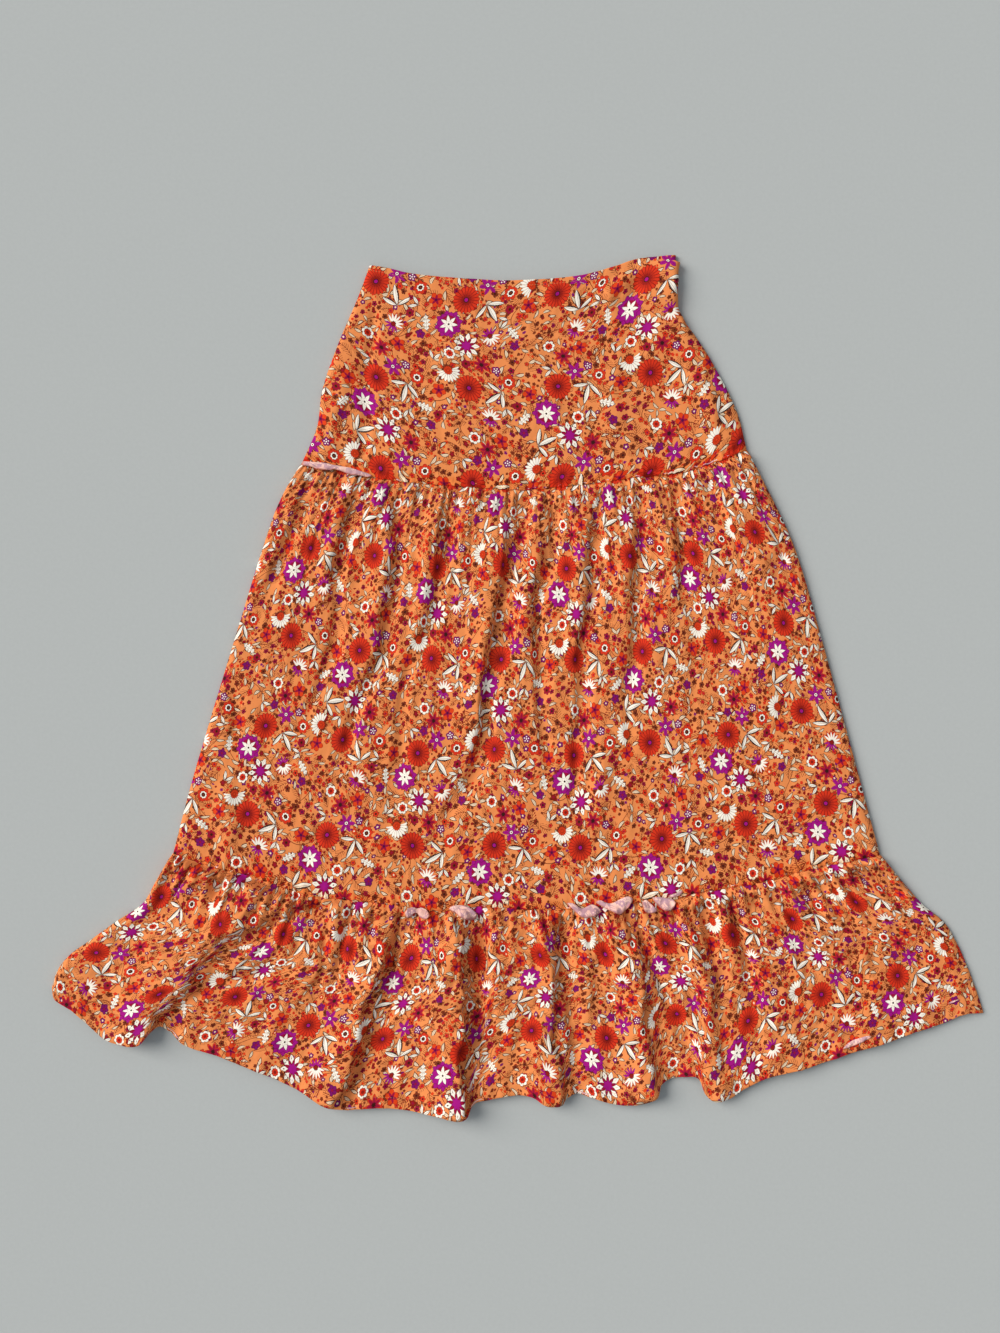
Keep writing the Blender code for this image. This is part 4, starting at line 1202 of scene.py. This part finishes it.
# The motifs of one repeat: how each is drawn, the most there are, the radius kept clear for each
# and the size it is drawn at
MOTIFS = [
    (draw_magenta_blossom, 2, 16.6, 16.8),
    (draw_white_blossom, 2, 15.6, 16.0),
    (draw_daisy, 4, 15.6, 15.8),
    (draw_leaf_trio, 5, 14.2, 16.8),
    (draw_lotus, 3, 13.2, 14.6),
    (draw_half_daisy, 2, 13.4, 14.4),
    (draw_purple_star, 3, 10.8, 11.6),
    (draw_crimson_star, 4, 10.8, 11.4),
    (draw_lobed_leaf, 4, 9.0, 11.0),
    (draw_ring_flower, 4, 8.2, 8.4),
    (draw_small_flower, 6, 8.2, 8.8),
    (draw_white_ring, 4, 7.4, 7.4),
    (draw_sprig, 4, 9.4, 12.0),
    (draw_leaf_pair, 8, 6.6, 8.0),
    (draw_purple_bud, 5, 5.6, 5.8),
    (draw_dotted_flower, 4, 5.2, 5.4),
    (draw_crimson_bud, 5, 5.2, 5.4),
]


def place_motifs(repeat, seed):
    """Places every motif of one repeat, largest first, clear of the others and far from its own
    kind. Returns rows of x, y, radius, and a code: its kind and the turn it is drawn at."""
    chance = np.random.default_rng(seed)
    placed = np.zeros((0, 4))
    for kind, (_, count, radius, _) in enumerate(MOTIFS):
        for _ in range(count):
            tried = chance.uniform(0, repeat, (TRIES, 2))
            apart = np.abs(tried[:, None] - placed[None, :, :2])
            apart = np.linalg.norm(np.minimum(apart, repeat - apart), axis=2)
            room = (apart - placed[:, 2] - radius - MOTIF_ROOM).min(axis=1, initial=repeat)
            alike = apart[:, np.floor(placed[:, 3]) == kind].min(axis=1, initial=repeat)
            best = np.argmax(np.where(room >= 0, alike - 0.6 * room, -10 * repeat))
            turn = chance.uniform(0.02, 0.98)
            if room[best] >= 0:
                placed = np.vstack([placed, (*tried[best], radius, kind + turn)])
    return placed


def with_border_copies(placed, repeat):
    """The motifs of one repeat, and those that reach in over its edges from the next ones."""
    rows = []
    for x, y, radius, code in placed:
        for dx in (-repeat, 0, repeat):
            for dy in (-repeat, 0, repeat):
                if -radius < x + dx < repeat + radius and -radius < y + dy < repeat + radius:
                    rows.append((x + dx, y + dy, radius, code))
    return rows


def polar(pen, offset, own_turn):
    """How far from a motif's middle an offset lies, and how many turns round the turned motif."""
    x, y = pen.split(offset)
    radius = pen.math("SQRT", x * x + y * y)
    return radius, pen.math("ARCTAN2", y, x) / (2 * math.pi) + own_turn


def turned_spot(pen, radius, turn):
    """The spot at a distance from a motif's middle and a turn round it."""
    angle = turn * (2 * math.pi)
    return Spot(radius, turn, radius * pen.math("COSINE", angle), radius * pen.math("SINE", angle))


def motif_at(pen, place, repeat, seed):
    """The motif that a place lies in: its kind, and the spot within it."""
    rows = with_border_copies(place_motifs(repeat, seed), repeat)
    largest = max(radius for _, _, radius, _ in rows)
    nearest = centre = None
    for x, y, radius, code in rows:
        # a third length makes room in the distance for the motif's size, so that a place inside
        # a motif is always nearest to that one
        sink = math.sqrt(largest**2 + 1 - radius**2)
        away = pen.vector("DISTANCE", place, (x, y, sink), output=1)
        if centre is None:
            nearest, centre = away, (x, y, code)
            continue
        choice = {0: away < nearest, 4: centre, 5: (x, y, code)}
        centre = pen.node("ShaderNodeMix", {"data_type": "VECTOR"}, choice, 1)
        nearest = pen.math("MINIMUM", away, nearest)
    code = pen.node("ShaderNodeSeparateXYZ", None, (centre,), 2)
    kind = pen.math("FLOOR", code)
    radius, turn = polar(pen, pen.vector("SUBTRACT", place, centre), code - kind)
    turn = pen.math("WRAP", turn, 0.5, -0.5)
    return kind, turned_spot(pen, radius, turn)


def draw_vines(pen, below, place, repeat):
    """Thin wandering stems that join up from one repeat to the next."""
    x, y = pen.split(place)
    for upright, start, number, height, phase in VINES:
        run, across = (y, x) if upright else (x, y)
        sway = pen.math("SINE", run * (2 * math.pi / repeat * number) + phase) * height
        off = pen.math("WRAP", across - sway - start, repeat / 2, -repeat / 2)
        below = pen.paint(below, abs(off) < VINE_WIDTH / 2, "brown")
    return below


def scattered(pen, place, spacing, evenness):
    """One small motif to each cell of uneven cells: its spot, and two random values."""
    cell = pen.node("ShaderNodeTexVoronoi", {"voronoi_dimensions": "2D"},
                    {"Vector": place, "Scale": 1 / spacing, "Randomness": 1 - evenness}, "Position")
    random = pen.node("ShaderNodeSeparateColor", None, (cell.other("Color"),))
    radius, turn = polar(pen, pen.vector("SUBTRACT", place, cell), random.other("Blue"))
    return turned_spot(pen, radius, turn), random, random.other("Green")


def inks_by(pen, value, stops):
    """An ink chosen by where a value lies among steps."""
    chosen = pen.node("ShaderNodeValToRGB", None, (value,))
    ramp = chosen.socket.node.color_ramp
    ramp.interpolation = "CONSTANT"
    for at, ink in stops:
        stop = ramp.elements[0] if at == 0 else ramp.elements.new(at)
        stop.color = pen.colour(ink)
    ramp.elements.remove(ramp.elements[-1])
    return chosen


def swirled(pen, place):
    """The cloth's places turned and gently swirled, so that small growth keeps to no rows."""
    x, y = pen.split(place)
    across = 0.866 * x - 0.5 * y + 4.0 * pen.math("SINE", y / 15)
    down = 0.5 * x + 0.866 * y + 4.0 * pen.math("SINE", x / 17 + 1)
    return pen.joined(across, down)


def draw_twigs(pen, below, place):
    """Fine twigs with side branches."""
    spot, _, pick = scattered(pen, place, TWIG_SPACING, 0.4)
    out = abs(spot.y - spot.x * spot.x * 0.03)
    inside = (1 - (spot.x * spot.x) / 80) * 5.2
    branch = pen.math("PINGPONG", (spot.x - out * 1.2) / 2.9, 0.5) < 0.12
    where = pen.math("MAXIMUM", (out < TWIG_WIDTH / 2) * (inside > 0), branch * (out < inside))
    return pen.paint(below, where * (pick > BARE_TWIGS), "brown")


def draw_dots(pen, below, place):
    """The smallest growth, in clusters: round dots and tiny stars."""
    thick = pen.noise(place, CLUSTER_SCALE, Detail=1.0)
    spot, size, pick = scattered(pen, place, DOT_SPACING, 0.35)
    edge = (DOT_RADIUS[0] + DOT_RADIUS[1] * size) * (1.12 - 0.7 * pen.off_centre(spot, 5))
    ink = inks_by(pen, pick, [(0, "brown"), (0.46, "red"), (0.60, "deep_red"), (0.80, "orange_red"),
                              (0.93, "purple")])
    where = (spot.radius < edge) * (pick > BARE_DOTS) * (thick > THICK_GROWTH)
    return pen.paint(below, where, ink)


def draw_leaflet(pen, below, spot, size):
    """A small leaf on a short bent stem."""
    length = LEAFLET_LENGTH[0] + LEAFLET_LENGTH[1] * size
    share = spot.x / length
    half = (1 - share * share) * (LEAFLET_WIDTH[0] + LEAFLET_WIDTH[1] * size) + share * 0.4
    out = abs(spot.y - (spot.x * spot.x - 8) * 0.04)
    stem = (out < STEM_WIDTH / 2) * (spot.x < 0) * (spot.x > -1.7 * length)
    leaf = pen.paint(below, stem, "brown")
    leaf = pen.paint(leaf, out < half, "outline")
    leaf = pen.paint(leaf, out < half - LEAFLET_LINE, "leaf")
    return pen.paint(leaf, (out < LEAFLET_VEIN / 2) * (abs(share) < 0.6), "shade")


def draw_growth(pen, below, place):
    """Leaflets on short stems and small round flowers, one to a cell."""
    spot, size, pick = scattered(pen, place, GROWTH_SPACING, 0.36)
    wide = FLOWER_RADIUS[0] + FLOWER_RADIUS[1] * size
    off_petal = pen.off_centre(spot, 5)
    edge = wide * (1 - 1.3 * off_petal * off_petal)
    ink = inks_by(pen, pick, [(0, "purple"), (0.41, "crimson"), (0.51, "brown"), (0.64, "red"),
                              (0.79, "deep_red"), (0.86, "orange_red")])
    heart = inks_by(pen, pick, [(0, "leaf"), (0.41, "deep_purple"), (0.43, "outline"), (0.72, "crimson"),
                                (0.90, "leaf")])
    flower = pen.paint(below, spot.radius < edge, "outline")
    flower = pen.paint(flower, spot.radius < edge - FLOWER_LINE, ink)
    flower = pen.paint(flower, spot.radius < 0.3 * wide, heart)
    flower = pen.paint(flower, pick > BARE_GROWTH, below)
    return pen.paint(flower, pick < LEAFLETS, draw_leaflet(pen, below, spot, size))


def floral_print(inks, repeat, seed):
    """A node group that turns a place on the cloth, in millimetres, into the print's colour."""
    group = bpy.data.node_groups.new("floral_print", "ShaderNodeTree")
    group.interface.new_socket("Place", in_out="INPUT", socket_type="NodeSocketVector")
    group.interface.new_socket("Colour", in_out="OUTPUT", socket_type="NodeSocketColor")
    pen = Pen(group, inks)
    cloth = pen.node("NodeGroupInput")
    dye = pen.noise(cloth, DYE_SCALE, Detail=3.0)
    ground = pen.paint("ground", dye * DYE_SHARE, "ground_deep")
    ground = draw_vines(pen, ground, cloth, repeat)
    growing = swirled(pen, cloth)
    for draw in (draw_twigs, draw_dots, draw_growth):
        ground = draw(pen, ground, growing)

    place = pen.vector("WRAP", cloth, (repeat, repeat, 1.0), (0.0, 0.0, 0.0))
    kind, spot = motif_at(pen, place, repeat, seed)
    colour = ground
    for number, (draw, _, _, size) in enumerate(MOTIFS):
        here = pen.math("COMPARE", kind, number, 0.5)
        colour = pen.paint(colour, here, draw(pen, ground, replace(spot, size=size)))
    pen.node("NodeGroupOutput", None, (colour,), None)
    return group


def new_material(name):
    """An empty node material: its pen and its Principled shader."""
    material = bpy.data.materials.new(name)
    material.use_nodes = True
    return Pen(material.node_tree), material.node_tree.nodes["Principled BSDF"]


def finish(pen, shader, wires, values):
    """Wires and values of a shader's sockets."""
    for name, wire in wires.items():
        pen.tree.links.new(wire.socket, shader.inputs[name])
    for name, value in values.items():
        shader.inputs[name].default_value = value


def bump(pen, height, distance, strength=1.0):
    inputs = {"Strength": strength, "Distance": distance, "Height": height}
    return pen.node("ShaderNodeBump", None, inputs, "Normal")


def cloth_surface(pen, cloth, threads):
    """The cloth's own relief: its weave, and the fine crinkle of viscose that has been folded."""
    across, down = pen.split(cloth)
    turn = 2 * math.pi / (threads * MM)
    weave = pen.math("SINE", across * turn) * pen.math("SINE", down * turn)
    crinkle = pen.noise(cloth, CRINKLE_SCALE, Detail=3.0, Roughness=0.5)
    return bump(pen, crinkle + weave * WEAVE_SHARE, CRINKLE_DEPTH, 0.5)


def print_on(pen):
    """The print's colour on a piece, and the place on the cloth that it is drawn at."""
    cloth = pen.node("ShaderNodeUVMap", {"uv_map": "cloth"})
    place = pen.node("ShaderNodeVectorMath", {"operation": "SCALE"}, {0: cloth, "Scale": 1 / MM})
    group = bpy.data.node_groups["floral_print"]
    return pen.node("ShaderNodeGroup", {"node_tree": group}, (place,)), cloth


def attribute(pen, name):
    return pen.node("ShaderNodeAttribute", {"attribute_name": name}, output="Fac")


def printed_cloth(settings):
    """The right side: the print over a soft, slightly bright weave, deeper where it is doubled."""
    pen, shader = new_material("printed_viscose")
    printed, cloth = print_on(pen)
    printed = pen.paint(printed, attribute(pen, "allowance") * DOUBLED_SHARE, DOUBLED_TINT, "MULTIPLY")
    finish(pen, shader,
           {"Base Color": printed, "Normal": cloth_surface(pen, cloth, settings.thread_spacing)},
           {"Roughness": 0.78, "Sheen Weight": settings.sheen, "Sheen Roughness": 0.5,
            "Specular IOR Level": 0.08})


def wrong_side_cloth(settings):
    """The wrong side: pale cloth with the print showing faintly through, and a darker rim on the allowances
    that is partly the cut edge's colour and partly painted shade.
    """
    pen, shader = new_material("viscose_wrong_side")
    printed, cloth = print_on(pen)
    shown = pen.node("ShaderNodeSeparateColor", None, (printed,), "Green")
    inked = pen.node("ShaderNodeMapRange", None,
                     {"Value": shown, "From Min": 0.16, "From Max": 0.02, "To Max": 0.6})
    faded = pen.paint((*settings.wrong_side, 1.0), inked, (*settings.show_through, 1.0))
    # darker rim: partly the cut edge's own colour, partly painted shade where the allowance turns under
    faded = pen.paint(faded, attribute(pen, "rim") * RIM_AND_SHADE_SHARE, (*settings.rim, 1.0))
    finish(pen, shader,
           {"Base Color": faded, "Normal": cloth_surface(pen, cloth, settings.thread_spacing)},
           {"Roughness": 0.88, "Specular IOR Level": 0.25})


def sewing_thread(settings):
    """Two-ply sewing thread."""
    pen, shader = new_material("sewing_thread")
    along, around = pen.split(pen.node("ShaderNodeUVMap", {"uv_map": "UVMap"}))
    ply = pen.math("SINE", (along + around * 3) * (4 * math.pi))
    dark = tuple(0.6 * c for c in settings.thread)
    colour = pen.paint((*settings.thread, 1.0), (ply + 1) * 0.3, (*dark, 1.0))
    finish(pen, shader, {"Base Color": colour, "Normal": bump(pen, ply, 0.00006)}, {"Roughness": 0.5})
    return bpy.data.materials["sewing_thread"]


def floor_material(colour):
    """Plain pale floor, faintly uneven."""
    pen, shader = new_material("floor")
    place = pen.node("ShaderNodeTexCoord", output="Object")
    grain = pen.node("ShaderNodeTexNoise", None, {"Vector": place, "Scale": 260.0, "Detail": 2.0})
    shade = tuple(0.86 * c for c in colour)
    colour = pen.paint((*colour, 1.0), grain * 0.5, (*shade, 1.0))
    finish(pen, shader, {"Base Color": colour}, {"Roughness": 0.9, "Specular IOR Level": 0.2})
    return bpy.data.materials["floor"]


# ---------------------------------------------------------------- settings

def colour_setting(name, description, default):
    return bpy.props.FloatVectorProperty(name=name, description=description, default=default,
                                         subtype="COLOR", size=3, min=0.0, max=1.0)


def length_setting(name, description, default):
    return bpy.props.FloatProperty(name=name, description=description, default=default,
                                   subtype="DISTANCE", unit="LENGTH")


def number_setting(name, description, default, subtype="NONE"):
    return bpy.props.FloatProperty(name=name, description=description, default=default, subtype=subtype)


class SkirtCloth(bpy.types.PropertyGroup):
    """The cloth itself."""
    thickness: length_setting("Thickness", "Thickness of the shells of cloth", 0.0004)
    thread_spacing: number_setting("Thread spacing", "Spacing of the weave's threads, in millimetres", 0.6)
    sheen: number_setting("Sheen", "How much light the fibres catch at a low angle", 0.02, "FACTOR")
    wrong_side: colour_setting("Wrong side", "Colour of the cloth's unprinted side", (0.90, 0.56, 0.48))
    show_through: colour_setting("Show-through", "Colour of the print that shows through", (0.27, 0.13, 0.27))
    # the rim colour is partly the cut edge's own and partly painted shade
    rim: colour_setting("Allowance rim", "Colour of an allowance's free edge", (0.42, 0.09, 0.04))
    thread: colour_setting("Thread", "Colour of the sewing thread", (0.80, 0.30, 0.10))
    stitch_length: length_setting("Stitch length", "Length of a stitch that shows", 0.0026)
    stitch_spacing: length_setting("Stitch spacing", "From one stitch to the next", 0.0032)


class SkirtPrint(bpy.types.PropertyGroup):
    """The floral print's size and inks."""
    repeat: number_setting("Repeat", "Side of the square that the print repeats in, in millimetres", 212.0)
    seed: bpy.props.IntProperty(name="Layout", description="Number that sets where the motifs lie", default=5)
    ground: colour_setting("Ground", "Colour of the ground", RECORD_COLOURS["printed_cloth"])
    ground_deep: colour_setting("Deep ground", "Colour of the ground where it is deeper", (0.73, 0.21, 0.06))
    cream: colour_setting("Cream", "Colour of white petals and leaves", (0.94, 0.86, 0.74))
    leaf: colour_setting("Leaflets", "Colour of the small leaves", (0.85, 0.63, 0.42))
    shade: colour_setting("Shade", "Colour of veins in cream leaves", (0.42, 0.31, 0.25))
    red: colour_setting("Red", "Colour of daisies", (0.64, 0.034, 0.010))
    deep_red: colour_setting("Deep red", "Colour of lines in red flowers", (0.26, 0.010, 0.006))
    orange_red: colour_setting("Orange red", "Colour of small flowers", (0.68, 0.050, 0.008))
    crimson: colour_setting("Crimson", "Colour of flower hearts", (0.30, 0.005, 0.035))
    magenta: colour_setting("Magenta", "Colour of the large blossoms", (0.35, 0.006, 0.20))
    purple: colour_setting("Purple", "Colour of purple flowers", (0.20, 0.005, 0.12))
    deep_purple: colour_setting("Deep purple", "Colour of lines in purple flowers", (0.085, 0.003, 0.045))
    brown: colour_setting("Brown", "Colour of stems and dots", (0.19, 0.028, 0.008))
    outline: colour_setting("Outline", "Colour of drawn outlines", (0.045, 0.008, 0.006))

    def inks(self):
        """Each ink's name and colour."""
        names = [key for key in self.__annotations__ if key not in ("repeat", "seed")]
        return {name: tuple(getattr(self, name)) for name in names}


class SkirtStage(bpy.types.PropertyGroup):
    """Floor, light and camera."""
    floor: colour_setting("Floor", "Colour of the floor", (0.46, 0.475, 0.47))
    camera_height: length_setting("Camera height", "Height of the camera above the floor", 1.6)
    key_power: number_setting("Key light", "Strength of the large soft light", 3.5)
    sky: number_setting("Sky", "Strength of the light from all round", 0.42)


# ---------------------------------------------------------------- operators

def cloth_materials():
    """The two sides of the cloth, made when they are first needed."""
    scene = bpy.context.scene
    if "floral_print" not in bpy.data.node_groups:
        settings = scene.skirt_print
        floral_print(settings.inks(), settings.repeat, settings.seed)
        printed_cloth(scene.skirt_cloth)
        wrong_side_cloth(scene.skirt_cloth)
    return bpy.data.materials["printed_viscose"], bpy.data.materials["viscose_wrong_side"]


def allowance_share(tier, surface, shares):
    """How much of the seam allowance lies behind each point, from 0 to 1."""
    if tier.loose_bottom:
        return np.zeros(surface.shape[:2])
    height, length = ALLOWANCE_WAVE
    edge = (1 - shares[:, None]) * tier.cut_depth + height * np.sin(surface[..., 0] / length)
    return 1 - smooth_step((edge - ALLOWANCE + ALLOWANCE_FADE) / (2 * ALLOWANCE_FADE))


def make_panels(tier):
    """The front and back of one tier."""
    materials = cloth_materials()
    front, shares = front_sheet(tier)
    mesh = grid_mesh(tier.name + "_front_cloth", front, cloth_place(tier, front, shares),
                     {"allowance": allowance_share(tier, front, shares)})
    front_piece = cloth_piece(mesh, materials, tier.name + "_front")
    back, down = back_sheet(tier)
    place = cloth_place(tier, back, down) * (-1, 1)
    mesh = grid_mesh(tier.name + "_back_cloth", back[:, ::-1], place[:, ::-1])
    back_piece = cloth_piece(mesh, materials, tier.name + "_back")


def make_flap(name, under, crown, root, rim, replaces):
    """A seam allowance, or a sliver of the wrong side, that lies on the named panels."""
    _, wrong = cloth_materials()
    surface, rim_and_shade = flap_sheet(under, crown, root, rim)
    # the rim attribute sets where the rim colour, partly painted shade, is laid
    mesh = grid_mesh(name + "_cloth", surface, (surface[..., :2] + FLAP_CUT) * MM, {"rim": rim_and_shade})
    piece = cloth_piece(mesh, (wrong,), replaces)
    inner = (0.2, 0.5, 0.8)
    laid = np.linalg.norm(smooth_line(rim, inner) - smooth_line(root, inner), axis=1).mean()
    width, depth = FLAP_EASE * (rim[-1][0] - rim[0][0]), laid + FLAP_HELD
    max(width, LEAST_CUT) * MM
    max(depth, LEAST_CUT) * MM
    width * depth * MM**2


class SKIRT_OT_yoke(bpy.types.Operator):
    """Add the smooth flared yoke, front and back"""
    bl_idname = "skirt.yoke"
    bl_label = "Yoke"

    def execute(self, context):
        make_panels(TIERS["yoke"])
        return {"FINISHED"}


class SKIRT_OT_middle_tier(bpy.types.Operator):
    """Add the middle tier, gathered into the yoke, front and back"""
    bl_idname = "skirt.middle_tier"
    bl_label = "Middle tier"

    def execute(self, context):
        make_panels(TIERS["tier"])
        return {"FINISHED"}


class SKIRT_OT_ruffle(bpy.types.Operator):
    """Add the bottom ruffle, gathered into the middle tier, front and back"""
    bl_idname = "skirt.ruffle"
    bl_label = "Ruffle"

    def execute(self, context):
        make_panels(TIERS["ruffle"])
        return {"FINISHED"}


class SKIRT_OT_seam_allowances(bpy.types.Operator):
    """Add the pale seam allowances that fold over the seams, and slivers of the wrong side"""
    bl_idname = "skirt.seam_allowances"
    bl_label = "Seam allowances"

    def execute(self, context):
        fronts = {name: front_form(name)[0] for name in TIERS}
        seams = {pair: faces_under([fronts[pair[0]][-EDGE_ROWS:], fronts[pair[1]][:EDGE_ROWS]])
                 for pair in (("yoke", "tier"), ("tier", "ruffle"))}
        seams["ruffle",] = faces_under([fronts["ruffle"][-EDGE_ROWS:]])
        for name, (*panels, crown, root, rim) in FLAPS.items():
            make_flap(name, seams[tuple(panels)], crown, root, rim, name)
        for name, (panels, crown, root, rim) in SLIVERS.items():
            make_flap(name, seams[panels], crown, root, rim, None)
        return {"FINISHED"}


class SKIRT_OT_stitching(bpy.types.Operator):
    """Add the rows of stitches below the waist edge and above the hem"""
    bl_idname = "skirt.stitching"
    bl_label = "Stitching"

    def execute(self, context):
        settings = context.scene.skirt_cloth
        thread = sewing_thread(settings)
        waist = line_along(front_form("yoke")[0], WAIST_STITCHING, last=False)
        hem = line_along(front_form("ruffle")[0], HEM_STITCHING, last=True)
        stitch_row("waist_stitches", waist, thread, settings)
        stitch_row("hem_stitches", hem, thread, settings)
        return {"FINISHED"}


class SKIRT_OT_stage(bpy.types.Operator):
    """Add the floor, the light and the camera"""
    bl_idname = "skirt.stage"
    bl_label = "Stage"

    def execute(self, context):
        settings = context.scene.skirt_stage
        bpy.ops.mesh.primitive_plane_add(size=FLOOR_SIZE, location=(0.0, 0.0, -FLOOR_DROP))
        floor = context.object
        floor.name = "floor"
        bpy.ops.object.transform_apply(location=True)
        floor.data.materials.append(floor_material(settings.floor))

        bpy.ops.object.light_add(type="SUN", location=KEY_PLACE)
        key = context.object
        key.name = "key_light"
        key.data.angle = KEY_ANGLE
        key.data.color = KEY_COLOUR
        key.data.energy = settings.key_power
        key.rotation_euler = key.location.to_track_quat("Z", "Y").to_euler()
        world = bpy.data.worlds.new("sky")
        world.use_nodes = True
        sky = world.node_tree.nodes["Background"]
        sky.inputs["Color"].default_value = SKY_COLOUR
        sky.inputs["Strength"].default_value = settings.sky
        context.scene.world = world
        context.scene.view_settings.view_transform = "Standard"

        middle = ((PICTURE[0] / 2 - ORIGIN[0]) * PIXEL, (ORIGIN[1] - PICTURE[1] / 2) * PIXEL)
        height = settings.camera_height
        bpy.ops.object.camera_add(location=(*middle, height), rotation=(0.0, 0.0, 0.0))
        camera = context.object
        camera.data.sensor_width = SENSOR
        camera.data.lens = SENSOR * height / (PICTURE[1] * PIXEL)
        context.scene.camera = camera
        return {"FINISHED"}


class VIEW3D_PT_skirt(bpy.types.Panel):
    """Buttons for each part of the skirt, and its settings"""
    bl_label = "Skirt"
    bl_space_type = "VIEW_3D"
    bl_region_type = "UI"
    bl_category = "Skirt"

    def draw(self, context):
        for operator in OPERATORS:
            self.layout.operator(operator.bl_idname)
        for name in SETTINGS:
            box = self.layout.box()
            settings = getattr(context.scene, name)
            for key in settings.__annotations__:
                box.prop(settings, key)


OPERATORS = (SKIRT_OT_yoke, SKIRT_OT_middle_tier, SKIRT_OT_ruffle, SKIRT_OT_seam_allowances,
             SKIRT_OT_stitching, SKIRT_OT_stage)
SETTINGS = {"skirt_cloth": SkirtCloth, "skirt_print": SkirtPrint, "skirt_stage": SkirtStage}


def register():
    for item in (*SETTINGS.values(), *OPERATORS, VIEW3D_PT_skirt):
        bpy.utils.register_class(item)
    for name, group in SETTINGS.items():
        setattr(bpy.types.Scene, name, bpy.props.PointerProperty(type=group))


def unregister():
    for name in SETTINGS:
        delattr(bpy.types.Scene, name)
    for item in (VIEW3D_PT_skirt, *reversed(OPERATORS), *SETTINGS.values()):
        bpy.utils.unregister_class(item)


def main():
    """Makes the whole skirt and its stage."""
    register()
    bpy.ops.object.select_all(action="DESELECT")
    bpy.ops.skirt.yoke()
    bpy.ops.skirt.middle_tier()
    bpy.ops.skirt.ruffle()
    bpy.ops.skirt.seam_allowances()
    bpy.ops.skirt.stitching()
    bpy.ops.skirt.stage()


if __name__ == "__main__":
    main()
